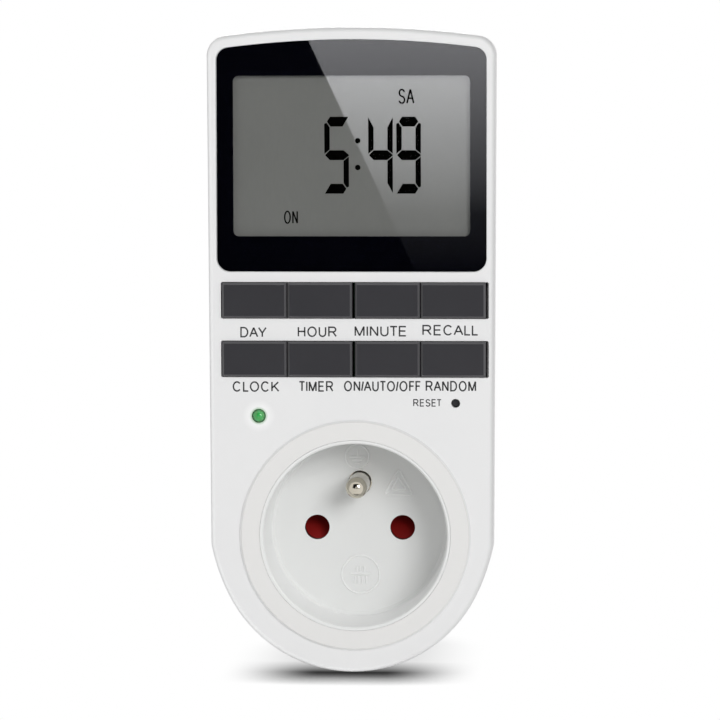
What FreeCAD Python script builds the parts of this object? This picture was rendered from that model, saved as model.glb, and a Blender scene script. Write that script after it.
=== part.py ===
import FreeCAD, Part
import math
import os
import re
import Sketcher

# Plug-in weekly timer: a display with eight keys above a socket, and a mains plug behind.
# Frame: +X to the right, +Z up, the front faces -Y, in millimetres.
# The origin lies on the common axis of plug and socket, in the plug's own face.
# "Forward" is the distance ahead of the plug's face, so Y is always minus a forward value.

os.makedirs("parts", exist_ok=True)
doc = FreeCAD.newDocument("PlugInTimer")
sheet = doc.addObject("Spreadsheet::Sheet", "dims")

sizes = {
    # case outline, about its own centreline, which lies a little left of the socket
    "case_shift": 0.7,
    "case_front": 53.0,
    "front_deep": 6.0,
    "case_back": 17.0,
    "half_top": 31.45,
    "side_slant": 0.3,
    "crown_apex": 110.65,
    "crown_rad": 215.0,
    "crown_corner": 4.4,
    "chin_rise": 0.15,
    "chin_inset": 1.2,
    "flank_extra": 12.55,
    "flank_lift": 6.2,
    "side_corner": 6.0,
    "side_wall": 1.6,
    "front_wall": 2.4,
    "back_wall": 2.0,
    "front_round": 1.0,
    "back_bevel": 1.0,
    "shell_step": 0.35,
    "back_draft": 1.5,
    # window panel
    "panel_border": 2.0,
    "panel_drop": 2.55,
    "panel_flatter": 2.0,
    "panel_gap": 2.15,
    "panel_corner": 2.8,
    "panel_foot": 3.0,
    "lens_gap": 0.08,
    "lens_thick": 1.2,
    "mask_thick": 0.12,
    "mask_gap": 0.03,
    "view_border": 3.65,
    "view_foot": 7.75,
    "view_drop": 7.9,
    "view_round": 1.2,
    "view_ledge": 0.7,
    # liquid crystal glass and the frame that holds it
    "glass_lap": 1.3,
    "glass_head": 3.4,
    "glass_thick": 2.2,
    "glass_play": 0.1,
    "frame_border": 1.2,
    "frame_foot": 0.6,
    "frame_lip": 0.8,
    "strip_tall": 2.0,
    "strip_inset": 0.3,
    # keys
    "row_high": 51.4,
    "row_pitch": 12.8,
    "window_border": 2.25,
    "window_tall": 8.0,
    "window_round": 0.4,
    "key_play": 0.15,
    "end_gap": 0.25,
    "far_gap": 0.66,
    "pair_gap": 0.22,
    "mid_gap": 0.65,
    "key_proud": 0.8,
    "key_skirt": 1.6,
    "key_lip": 0.9,
    "key_lip_thick": 1.0,
    "key_bevel": 0.45,
    "stem_side": 2.4,
    # switches under the keys
    "switch_side": 6.0,
    "switch_tall": 3.4,
    "plunger_sides": 8,
    "plunger_rad": 1.7,
    "plunger_reach": 0.9,
    "plunger_sunk": 1.2,
    "plunger_play": 0.1,
    "switch_bore": 2.3,
    # reset pin and lamp
    "reset_side": 21.98,
    "reset_rise": 29.0,
    "reset_hole": 0.98,
    "reset_rad": 0.8,
    "reset_sunk": 1.4,
    "lamp_side": 21.0,
    "lamp_rise": 26.14,
    "lamp_rad": 1.45,
    "lamp_play": 0.07,
    "lamp_proud": 0.7,
    "lamp_tall": 5.3,
    "lamp_flange": 0.35,
    "lamp_base": 1.0,
    "lamp_dome": 1.3,
    "lamp_lead": 0.5,
    "lead_pitch": 2.54,
    # circuit boards
    "board_behind": 9.0,
    "board_thick": 1.6,
    "board_border": 4.05,
    "board_low": 24.6,
    "board_head": 0.6,
    "power_back": 22.4,
    "power_border": 10.95,
    "power_low": 24.0,
    "power_drop": 10.65,
    # posts and screws
    "post_inset": 6.05,
    "post_rise": 60.0,
    "post_meet": 28.6,
    "front_post": 2.9,
    "rear_post": 3.7,
    "post_play": 0.3,
    "well_rad": 2.9,
    "seat_thick": 3.0,
    "screw_head": 2.7,
    "head_thick": 1.9,
    "screw_shank": 1.25,
    "screw_long": 11.5,
    "screw_hole": 1.5,
    "pilot_spare": 1.0,
    "thread_play": 0.05,
    "stud_side": 12.0,
    "stud_low": 29.0,
    "stud_rad": 2.5,
    "power_stud_side": 3.0,
    "power_stud_inset": 6.0,
    "small_head": 1.9,
    "small_head_thick": 1.3,
    "small_shank": 0.9,
    "small_long": 4.6,
    # hooks along the top edge
    "hook_side": 12.0,
    "hook_wide": 6.0,
    "hook_drop": 4.75,
    "hook_thick": 1.2,
    "hook_long": 3.0,
    # socket in the front
    "collar_rad": 25.3,
    "collar_rise": 0.7,
    "collar_bevel": 0.5,
    "seam_gap": 0.06,
    "mouth_rad": 20.1,
    "lip_wide": 0.75,
    "lip_bevel": 0.3,
    "recess_deep": 16.5,
    "cup_draft": 0.35,
    "floor_round": 1.0,
    "floor_thick": 2.5,
    "cup_wall": 1.2,
    "skirt_wall": 2.9,
    "skirt_long": 5.2,
    # plug and socket standard sizes
    "pole_half": 9.5,
    "hole_rad": 2.75,
    "pin_rad": 2.4,
    "pin_long": 19.0,
    "earth_rise": 10.0,
    "earth_long": 14.0,
    "earth_collar": 2.6,
    "collar_play": 0.05,
    "plug_collar": 3.0,
    "tail_rad": 2.0,
    "left_tail": 8.0,
    # plug body
    "boss_rad": 18.5,
    "boss_bore": 14.4,
    "boss_bevel": 0.7,
    "face_thick": 3.0,
    "earth_hole": 2.9,
    "notch_tall": 5.4,
    "notch_deep": 2.6,
    "notch_long": 15.0,
    # side earth contacts and the bridge that joins them
    "clip_wide": 6.0,
    "clip_play": 0.3,
    "clip_seat": 2.0,
    "clip_thick": 0.8,
    "clip_end": 2.0,
    "clip_bow": 0.9,
    "clip_ramp": 4.0,
    "groove_deep": 2.2,
    "bridge_thick": 0.8,
    "bridge_front": 20.0,
    "sleeve_rad": 2.5,
    "sleeve_wall": 0.6,
    "sleeve_start": 3.4,
    # pole contacts
    "grip_rad": 2.45,
    "grip_wall": 0.6,
    "grip_front": 28.2,
    "grip_back": 16.6,
    "grip_slit": 1.0,
    "strap_thick": 0.8,
    "strap_wide": 2.6,
    "strap_rise": 3.2,
    "strap_gap": 0.6,
    "supply_rise": 5.0,
    # contact carrier
    "carrier_lap": 2.0,
    "carrier_thick": 2.5,
    "block_half": 14.5,
    "block_rise": 4.6,
    "block_back": 20.4,
    "carrier_play": 0.1,
    "carrier_post": 15.4,
    "carrier_post_rise": 7.6,
    "carrier_post_rad": 2.0,
    # shutter
    "shutter_half": 12.9,
    "shutter_rise": 3.4,
    "shutter_drop": 3.6,
    "shutter_toe": 0.7,
    "shutter_play": 0.1,
    "spring_seat": 15.6,
    "seat_half": 3.0,
    "leaf_half": 2.6,
    "leaf_wide": 3.0,
    "leaf_thick": 0.3,
    "leaf_folds": 7,
    # parts on the power board
    "relay_left": -19.0,
    "relay_low": 36.0,
    "relay_wide": 12.7,
    "relay_tall": 29.0,
    "relay_deep": 15.7,
    "film_capacitor_left": -3.0,
    "film_capacitor_low": 36.0,
    "film_capacitor_wide": 8.5,
    "film_capacitor_tall": 18.0,
    "film_capacitor_deep": 14.0,
    "bridge_rectifier_left": 2.0,
    "bridge_rectifier_low": 72.0,
    "bridge_rectifier_wide": 15.0,
    "bridge_rectifier_tall": 3.6,
    "bridge_rectifier_deep": 10.5,
    "can_side": 13.0,
    "can_rise": 44.0,
    "can_rad": 5.0,
    "can_deep": 13.0,
    "disc_side": 12.0,
    "disc_low": 58.0,
    "disc_rad": 5.0,
    "disc_thick": 4.2,
    "disc_foot": 1.2,
    "fuse_side": -13.0,
    "fuse_low": 69.0,
    "fuse_long": 20.0,
    "fuse_cap": 5.0,
    "fuse_rad": 2.6,
    "fuse_foot": 0.8,
    # parts on the back of the main board
    "controller_chip_left": -16.0,
    "controller_chip_low": 78.0,
    "controller_chip_wide": 12.0,
    "controller_chip_tall": 12.0,
    "controller_chip_deep": 1.6,
    "cell_side": 8.0,
    "cell_rise": 84.0,
    "cell_rad": 7.8,
    "cell_deep": 6.2,
    "crystal_side": -6.0,
    "crystal_low": 68.0,
    "crystal_long": 6.0,
    "crystal_rad": 1.05,
    "link_rise": 97.0,
    "link_pins": 6,
    "link_base": 2.5,
    "link_pin": 0.64,
    "hex_sides": 6,
    "shank_sides": 8,
    "round_sides": 16,
    "reset_flange": 1.4,
}


# Sizes that follow from others, written once as expressions.
derived = {
    "case_split": "case_front - front_deep",
    "chin_rad": "half_top - chin_inset",
    "flank_rad": "half_top + flank_extra",
    "inner_front": "case_front - front_wall",
    "back_inside": "case_back + back_wall",
    "panel_half": "half_top - panel_border",
    "panel_apex": "crown_apex - panel_drop",
    "panel_rad": "crown_rad - panel_flatter",
    "panel_low": "row_high + window_tall / 2 + panel_gap",
    "view_wide": "2 * (panel_half - view_border)",
    "view_low": "panel_low + view_foot",
    "view_high": "panel_apex - view_drop",
    "lens_back": "case_front - lens_thick",
    "mask_front": "lens_back - mask_gap",
    "panel_floor": "mask_front - mask_thick",
    "glass_wide": "view_wide + 2 * glass_lap",
    "glass_low": "view_low - glass_lap",
    "glass_high": "view_high + glass_head",
    "glass_front": "inner_front - glass_play",
    "glass_back": "glass_front - glass_thick",
    "window_wide": "2 * (half_top - window_border)",
    "key_wide": "(window_wide - end_gap - far_gap - 2 * pair_gap - mid_gap) / 4",
    "board_front": "case_front - board_behind",
    "board_back": "board_front - board_thick",
    "board_half": "half_top - board_border",
    "board_high": "glass_high + board_head",
    "stem_end": "board_front + switch_tall + plunger_reach",
    "power_front": "power_back + board_thick",
    "power_half": "half_top - power_border",
    "power_high": "crown_apex - power_drop",
    "post_side": "half_top - post_inset",
    "hook_rise": "crown_apex - hook_drop",
    "collar_top": "case_front + collar_rise",
    "floor_front": "case_front - recess_deep",
    "floor_back": "floor_front - floor_thick",
    "skirt_end": "floor_back - skirt_long",
    "chin_post": "(chin_rad - post_inset) * sqrt(0.5)",
    "power_stud": "power_half - power_stud_side",
    "floor_rad": "mouth_rad - cup_draft",
    "cup_rad": "mouth_rad + cup_wall",
    "skirt_rad": "cup_rad - skirt_wall",
    "carrier_rad": "skirt_rad + carrier_lap",
    "clip_rise": "boss_rad - clip_seat",
}


def fill_sheet():
    for row, (alias, value) in enumerate(sizes.items(), start=1):
        sheet.set("A%d" % row, alias)
        sheet.set("B%d" % row, str(value))
        sheet.setAlias("B%d" % row, alias)


fill_sheet()
doc.recompute()


# Expressions are written with the bare names: this puts in what is derived and adds the sheet's own name.
def ref(text):
    def full_name(word):
        name = word.group()
        if name in derived:
            return "(%s)" % ref(derived[name])
        return "dims." + name if name in sizes else name
    return re.sub(r"[a-z_]+", full_name, text)


def number(text):
    return float(sheet.evalExpression(ref(text)))


def link(obj, path, text):
    obj.setExpression(path, ref(text))


def place(obj, x, forward, z):
    link(obj, "Placement.Base.x", x)
    link(obj, "Placement.Base.y", "-(%s)" % forward)
    link(obj, "Placement.Base.z", z)


# Sketch helpers: every point and radius is bound to the sheet.
def point(x, z):
    return FreeCAD.Vector(x, z, 0)


def set_distance(sketch, kind, geo, pos, text):
    if text == "0":
        axis = -2 if kind == "DistanceX" else -1
        sketch.addConstraint(Sketcher.Constraint("PointOnObject", geo, pos, axis))
        return
    index = sketch.addConstraint(Sketcher.Constraint(kind, -1, 1, geo, pos, number(text)))
    link(sketch, "Constraints[%d]" % index, text)


def set_radius(sketch, geo, text):
    index = sketch.addConstraint(Sketcher.Constraint("Radius", geo, number(text)))
    link(sketch, "Constraints[%d]" % index, text)


def add_line(sketch, start, end):
    return sketch.addGeometry(Part.LineSegment(point(*start), point(*end)), False)


def add_arc(sketch, centre, radius, start, end):
    circle = Part.Circle(point(*centre), FreeCAD.Vector(0, 0, 1), radius)
    return sketch.addGeometry(Part.ArcOfCircle(circle, start, end), False)


def add_circle(sketch, x, z, radius):
    circle = Part.Circle(point(number(x), number(z)), FreeCAD.Vector(0, 0, 1), number(radius))
    geo = sketch.addGeometry(circle, False)
    set_radius(sketch, geo, radius)
    set_distance(sketch, "DistanceX", geo, 3, x)
    set_distance(sketch, "DistanceY", geo, 3, z)


def add_polygon(sketch, corners):
    spots = [(number(x), number(z)) for x, z in corners]
    lines = [add_line(sketch, spot, spots[(i + 1) % len(spots)]) for i, spot in enumerate(spots)]
    for i, geo in enumerate(lines):
        sketch.addConstraint(Sketcher.Constraint("Coincident", lines[i - 1], 2, geo, 1))
        set_distance(sketch, "DistanceX", geo, 1, corners[i][0])
        set_distance(sketch, "DistanceY", geo, 1, corners[i][1])


# An even polygon in place of a circle, for posts and holes that stay out of sight.
def add_flats(sketch, x, z, radius, sides=8):
    corners = []
    for i in range(sides):
        turn = 360.0 * i / sides
        corners.append(("%s + (%s) * cos(%g)" % (x, radius, turn), "%s + (%s) * sin(%g)" % (z, radius, turn)))
    add_polygon(sketch, corners)


def add_box(sketch, left, right, low, high):
    add_polygon(sketch, [(left, low), (right, low), (right, high), (left, high)])


# A box with four equal rounded corners.
def add_rounded_box(sketch, left, right, low, high, radius):
    x0, x1 = number(left), number(right)
    z0, z1 = number(low), number(high)
    r = number(radius)
    quarter = math.pi / 2
    top = add_line(sketch, (x1 - r, z1), (x0 + r, z1))
    corner_a = add_arc(sketch, (x0 + r, z1 - r), r, quarter, 2 * quarter)
    side_a = add_line(sketch, (x0, z1 - r), (x0, z0 + r))
    corner_b = add_arc(sketch, (x0 + r, z0 + r), r, 2 * quarter, 3 * quarter)
    foot = add_line(sketch, (x0 + r, z0), (x1 - r, z0))
    corner_c = add_arc(sketch, (x1 - r, z0 + r), r, 3 * quarter, 4 * quarter)
    side_b = add_line(sketch, (x1, z0 + r), (x1, z1 - r))
    corner_d = add_arc(sketch, (x1 - r, z1 - r), r, 0, quarter)
    ring = [top, corner_a, side_a, corner_b, foot, corner_c, side_b, corner_d]
    for i, geo in enumerate(ring):
        sketch.addConstraint(Sketcher.Constraint("Tangent", ring[i - 1], 2, geo, 1))
    for corner in (corner_b, corner_c, corner_d):
        sketch.addConstraint(Sketcher.Constraint("Equal", corner_a, corner))
    set_radius(sketch, corner_a, radius)
    for geo in (top, foot):
        sketch.addConstraint(Sketcher.Constraint("Horizontal", geo))
    for geo in (side_a, side_b):
        sketch.addConstraint(Sketcher.Constraint("Vertical", geo))
    set_distance(sketch, "DistanceY", top, 1, high)
    set_distance(sketch, "DistanceY", foot, 1, low)
    set_distance(sketch, "DistanceX", side_a, 1, left)
    set_distance(sketch, "DistanceX", side_b, 1, right)


# Where a circle about one centre meets a straight line, on the line's far side along its direction.
def meet_line(centre, radius, start, along):
    dx, dz = start[0] - centre[0], start[1] - centre[1]
    half = dx * along[0] + dz * along[1]
    rest = dx * dx + dz * dz - radius * radius
    return -half + math.sqrt(half * half - rest)


# The case outline: crown, rounded shoulders, slanted sides, soft flanks and a round chin, set in by inset.
def add_case_outline(sketch, inset):
    gap = number(inset)
    slant = math.radians(number("side_slant"))
    crown = (0.0, number("crown_apex - crown_rad"))
    crown_r = number("crown_rad") - gap
    corner_r = number("crown_corner") - gap
    chin = (0.0, number("chin_rise"))
    chin_r = number("chin_rad") - gap
    flank_r = number("flank_rad") - gap
    side_r = number("side_corner") - gap
    lift = number("flank_lift")
    spread = number("flank_rad - chin_rad")
    flank = (-math.sqrt(spread * spread - lift * lift), chin[1] + lift)
    # shoulder: its centre is level with the side's top and inside the crown
    corner_x = number("half_top - crown_corner")
    corner_z = crown[1] + math.sqrt((crown_r - corner_r) ** 2 - corner_x ** 2)
    # the side line runs down and inwards from the shoulder, and the soft corner rolls along it
    outward = (math.cos(slant), -math.sin(slant))
    down = (-math.sin(slant), -math.cos(slant))
    track = (corner_x + outward[0] * (corner_r - side_r), corner_z + outward[1] * (corner_r - side_r))
    run = meet_line(flank, flank_r - side_r, track, down)
    soft = (track[0] + down[0] * run, track[1] + down[1] * run)
    crown_angle = math.atan2(corner_z - crown[1], corner_x)
    soft_angle = math.atan2(soft[1] - flank[1], soft[0] - flank[0])
    chin_angle = math.atan2(chin[1] - flank[1], chin[0] - flank[0])
    half = math.pi
    full = 2 * math.pi

    def on(centre, radius, angle, mirror=1):
        return (mirror * (centre[0] + radius * math.cos(angle)), centre[1] + radius * math.sin(angle))

    corner = (corner_x, corner_z)
    side_top = on(corner, corner_r, -slant)
    side_foot = on(soft, side_r, -slant)
    top = add_arc(sketch, crown, crown_r, crown_angle, half - crown_angle)
    corner_left = add_arc(sketch, (-corner_x, corner_z), corner_r, half - crown_angle, half + slant)
    side_left = add_line(sketch, (-side_top[0], side_top[1]), (-side_foot[0], side_foot[1]))
    soft_left = add_arc(sketch, (-soft[0], soft[1]), side_r, half + slant, half - soft_angle)
    flank_left = add_arc(sketch, (-flank[0], flank[1]), flank_r, half - soft_angle, half - chin_angle)
    bottom = add_arc(sketch, chin, chin_r, half - chin_angle, full + chin_angle)
    flank_right = add_arc(sketch, flank, flank_r, full + chin_angle, full + soft_angle)
    soft_right = add_arc(sketch, soft, side_r, full + soft_angle, full - slant)
    side_right = add_line(sketch, side_foot, side_top)
    corner_right = add_arc(sketch, corner, corner_r, full - slant, full + crown_angle)
    ring = [top, corner_left, side_left, soft_left, flank_left, bottom,
            flank_right, soft_right, side_right, corner_right]
    for i, geo in enumerate(ring):
        sketch.addConstraint(Sketcher.Constraint("Tangent", ring[i - 1], 2, geo, 1))
    for left, right in ((corner_left, corner_right), (soft_left, soft_right), (flank_left, flank_right)):
        sketch.addConstraint(Sketcher.Constraint("Equal", left, right))
    set_radius(sketch, top, "crown_rad - (%s)" % inset)
    set_radius(sketch, corner_right, "crown_corner - (%s)" % inset)
    set_radius(sketch, soft_right, "side_corner - (%s)" % inset)
    set_radius(sketch, flank_right, "flank_rad - (%s)" % inset)
    set_radius(sketch, bottom, "chin_rad - (%s)" % inset)
    for geo, rise in ((top, "crown_apex - crown_rad"), (bottom, "chin_rise")):
        set_distance(sketch, "DistanceX", geo, 3, "0")
        set_distance(sketch, "DistanceY", geo, 3, rise)
    set_distance(sketch, "DistanceX", corner_right, 3, "half_top - crown_corner")
    set_distance(sketch, "DistanceX", corner_left, 3, "-(half_top - crown_corner)")
    for geo in (flank_left, flank_right):
        set_distance(sketch, "DistanceY", geo, 3, "chin_rise + flank_lift")
    for geo, turn in ((side_right, "90 - side_slant"), (side_left, "side_slant - 90")):
        index = sketch.addConstraint(Sketcher.Constraint("Angle", geo, math.radians(number(turn))))
        link(sketch, "Constraints[%d]" % index, "(%s) * 1deg" % turn)


# The window panel: a crown like the case's, straight sides and foot, rounded corners.
def add_panel_outline(sketch, inset):
    gap = number(inset)
    crown = (0.0, number("panel_apex - panel_rad"))
    crown_r = number("panel_rad") - gap
    corner_r = number("panel_corner") - gap
    foot_r = number("panel_foot") - gap
    side = number("panel_half") - gap
    low = number("panel_low") + gap
    corner_x = side - corner_r
    corner_z = crown[1] + math.sqrt((crown_r - corner_r) ** 2 - corner_x ** 2)
    angle = math.atan2(corner_z - crown[1], corner_x)
    half = math.pi
    top = add_arc(sketch, crown, crown_r, angle, half - angle)
    top_left = add_arc(sketch, (-corner_x, corner_z), corner_r, half - angle, half)
    side_left = add_line(sketch, (-side, corner_z), (-side, low + foot_r))
    foot_left = add_arc(sketch, (-side + foot_r, low + foot_r), foot_r, half, 1.5 * half)
    foot = add_line(sketch, (-side + foot_r, low), (side - foot_r, low))
    foot_right = add_arc(sketch, (side - foot_r, low + foot_r), foot_r, 1.5 * half, 2 * half)
    side_right = add_line(sketch, (side, low + foot_r), (side, corner_z))
    top_right = add_arc(sketch, (corner_x, corner_z), corner_r, 0, angle)
    ring = [top, top_left, side_left, foot_left, foot, foot_right, side_right, top_right]
    for i, geo in enumerate(ring):
        sketch.addConstraint(Sketcher.Constraint("Tangent", ring[i - 1], 2, geo, 1))
    sketch.addConstraint(Sketcher.Constraint("Equal", top_left, top_right))
    sketch.addConstraint(Sketcher.Constraint("Equal", foot_left, foot_right))
    set_radius(sketch, top, "panel_rad - (%s)" % inset)
    set_radius(sketch, top_right, "panel_corner - (%s)" % inset)
    set_radius(sketch, foot_right, "panel_foot - (%s)" % inset)
    set_distance(sketch, "DistanceX", top, 3, "0")
    set_distance(sketch, "DistanceY", top, 3, "panel_apex - panel_rad")
    sketch.addConstraint(Sketcher.Constraint("Vertical", side_left))
    sketch.addConstraint(Sketcher.Constraint("Vertical", side_right))
    sketch.addConstraint(Sketcher.Constraint("Horizontal", foot))
    set_distance(sketch, "DistanceX", side_left, 1, "-(panel_half - (%s))" % inset)
    set_distance(sketch, "DistanceX", side_right, 1, "panel_half - (%s)" % inset)
    set_distance(sketch, "DistanceY", foot, 1, "panel_low + (%s)" % inset)


# Body helpers.
def new_body(label):
    body = doc.addObject("PartDesign::Body", label)
    body.Label = label
    return body


def new_sketch(body, role="XZ_Plane", offset="0", shift="0"):
    sketch = body.newObject("Sketcher::SketchObject", body.Name + "_sketch")
    plane = [item for item in body.Origin.OriginFeatures if item.Role == role][0]
    sketch.AttachmentSupport = [(plane, "")]
    sketch.MapMode = "FlatFace"
    link(sketch, "AttachmentOffset.Base.z", offset)
    link(sketch, "AttachmentOffset.Base.x", shift)
    return sketch


# Pads run forward, towards the viewer, unless backward is asked for. Pockets cut the same way.
def pad(body, sketch, length, backward=False):
    feature = body.newObject("PartDesign::Pad", body.Name + "_pad")
    feature.Profile = sketch
    feature.Reversed = backward
    link(feature, "Length", length)
    return feature


def pad_middle(body, sketch, length):
    feature = pad(body, sketch, length)
    feature.Midplane = True
    return feature


def pocket(body, sketch, length, backward=False):
    feature = body.newObject("PartDesign::Pocket", body.Name + "_pocket")
    feature.Profile = sketch
    feature.Reversed = not backward
    link(feature, "Length", length)
    return feature


def revolve(body, sketch):
    feature = body.newObject("PartDesign::Revolution", body.Name + "_turn")
    feature.Profile = sketch
    feature.ReferenceAxis = (sketch, ["V_Axis"])
    feature.Angle = 360
    return feature


# Rounds the edges of the body's last feature that pass the test, which gets each edge's points.
def round_edges(body, test, radius, kind="Fillet"):
    doc.recompute()
    base = body.Tip
    names = []
    for i, edge in enumerate(base.Shape.Edges, start=1):
        spots = [edge.valueAt(t) for t in (edge.FirstParameter, edge.LastParameter)]
        spots.append(edge.valueAt((edge.FirstParameter + edge.LastParameter) / 2))
        if test(spots):
            names.append("Edge%d" % i)
    feature = body.newObject("PartDesign::" + kind, body.Name + "_" + kind.lower())
    feature.Base = (base, names)
    link(feature, "Radius" if kind == "Fillet" else "Size", radius)
    return feature


tiny = 0.01


# Edges in the plane at a forward distance, and there also at a distance from the body's own axis.
def at_forward(forward):
    level = -number(forward)
    return lambda spots: all(abs(spot.y - level) < tiny for spot in spots)


def ring_at(forward, radius, x="0", z="0"):
    level = at_forward(forward)
    reach = number(radius)
    middle = (number(x), number(z))

    def test(spots):
        return level(spots) and all(
            abs(math.hypot(spot.x - middle[0], spot.z - middle[1]) - reach) < tiny for spot in spots)
    return test


# Primitive helpers.
def block(label, left, right, back, front, low, high):
    box = doc.addObject("Part::Box", label)
    box.Label = label
    link(box, "Length", "(%s) - (%s)" % (right, left))
    link(box, "Width", "(%s) - (%s)" % (front, back))
    link(box, "Height", "(%s) - (%s)" % (high, low))
    place(box, left, front, low)
    return box


# A drum in even flats that lies along Z, for parts laid on a board.
def rod(label, x, forward, low, high, radius):
    shape = doc.addObject("Part::Prism", label)
    shape.Label = label
    link(shape, "Polygon", "round_sides")
    link(shape, "Circumradius", radius)
    link(shape, "Height", "(%s) - (%s)" % (high, low))
    place(shape, x, forward, low)
    return shape


# A drum with flat sides, for small parts that are square, hexagonal or out of sight.
def prism(label, sides, x, z, back, front, radius):
    shape = doc.addObject("Part::Prism", label)
    shape.Label = label
    shape.Placement.Rotation = FreeCAD.Rotation(FreeCAD.Vector(1, 0, 0), 90)
    link(shape, "Polygon", sides)
    link(shape, "Circumradius", radius)
    link(shape, "Height", "(%s) - (%s)" % (front, back))
    place(shape, x, back, z)
    return shape


def fuse_shapes(label, shapes):
    result = doc.addObject("Part::MultiFuse", label)
    result.Label = label
    result.Shapes = shapes
    return result


def cut(label, base, tool):
    result = doc.addObject("Part::Cut", label)
    result.Label = label
    result.Base = base
    result.Tool = tool
    return result


def group(label, shapes):
    result = doc.addObject("Part::Compound", label)
    result.Label = label
    result.Links = shapes
    return result


# Shared places, written once.
axis_shift = "-case_shift"
window_left = "-window_wide / 2"
rows = ["row_high", "row_high - row_pitch"]
columns = [
    window_left + " + end_gap + key_wide / 2",
    window_left + " + end_gap + key_wide * 3 / 2 + pair_gap",
    window_left + " + end_gap + key_wide * 5 / 2 + pair_gap + mid_gap",
    window_left + " + end_gap + key_wide * 7 / 2 + 2 * pair_gap + mid_gap",
]
case_posts = [
    ("post_side - case_shift", "post_rise"),
    ("-post_side - case_shift", "post_rise"),
    ("chin_post", "-chin_post"),
    ("-chin_post", "-chin_post"),
]
board_studs = [("stud_side", "stud_low"), ("-stud_side", "post_rise")]
power_studs = [("power_stud", "power_low + power_stud_inset"), ("-power_stud", "power_high - power_stud_inset")]
carrier_posts = [("carrier_post", "carrier_post_rise"), ("-carrier_post", "-carrier_post_rise")]
pieces = []


def keep(piece):
    pieces.append(piece)
    return piece


def front_shell():
    body = keep(new_body("front_shell"))
    outer = new_sketch(body, offset="case_split", shift=axis_shift)
    add_case_outline(outer, "0")
    pad(body, outer, "case_front - case_split")
    round_edges(body, at_forward("case_front"), "front_round")
    inner = new_sketch(body, offset="case_split", shift=axis_shift)
    add_case_outline(inner, "side_wall")
    pocket(body, inner, "inner_front - case_split")
    collar = new_sketch(body, offset="case_front")
    add_circle(collar, "0", "0", "collar_rad")
    pad(body, collar, "collar_rise")
    round_edges(body, ring_at("collar_top", "collar_rad"), "collar_bevel", "Chamfer")
    panel = new_sketch(body, offset="panel_floor", shift=axis_shift)
    add_panel_outline(panel, "0")
    pocket(body, panel, "case_front - panel_floor")
    # one set of openings: display, both key rows, lamp, reset pin and socket
    openings = new_sketch(body, offset="inner_front")
    add_rounded_box(openings, "-view_wide / 2 - view_ledge - case_shift", "view_wide / 2 + view_ledge - case_shift",
                    "view_low - view_ledge", "view_high + view_ledge", "view_round")
    for row in rows:
        add_rounded_box(openings, window_left, "window_wide / 2",
                        row + " - window_tall / 2", row + " + window_tall / 2", "window_round")
    add_circle(openings, "-lamp_side", "lamp_rise", "lamp_rad + lamp_play")
    add_circle(openings, "reset_side", "reset_rise", "reset_hole")
    add_circle(openings, "0", "0", "mouth_rad + lip_wide + seam_gap")
    pocket(body, openings, "front_wall + collar_rise")
    posts = new_sketch(body, offset="inner_front")
    for x, z in case_posts:
        add_flats(posts, x, z, "front_post")
    pad(body, posts, "inner_front - post_meet", backward=True)
    studs = new_sketch(body, offset="inner_front")
    for x, z in board_studs:
        add_flats(studs, x + " - case_shift", z, "stud_rad")
    pad(body, studs, "inner_front - board_front", backward=True)
    pilots = new_sketch(body, offset="post_meet")
    for x, z in case_posts:
        add_flats(pilots, x, z, "screw_shank + thread_play")
    pocket(body, pilots, "screw_long - seat_thick + pilot_spare")
    small_pilots = new_sketch(body, offset="board_front")
    for x, z in board_studs:
        add_flats(small_pilots, x + " - case_shift", z, "small_shank + thread_play")
    pocket(body, small_pilots, "small_long")


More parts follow.
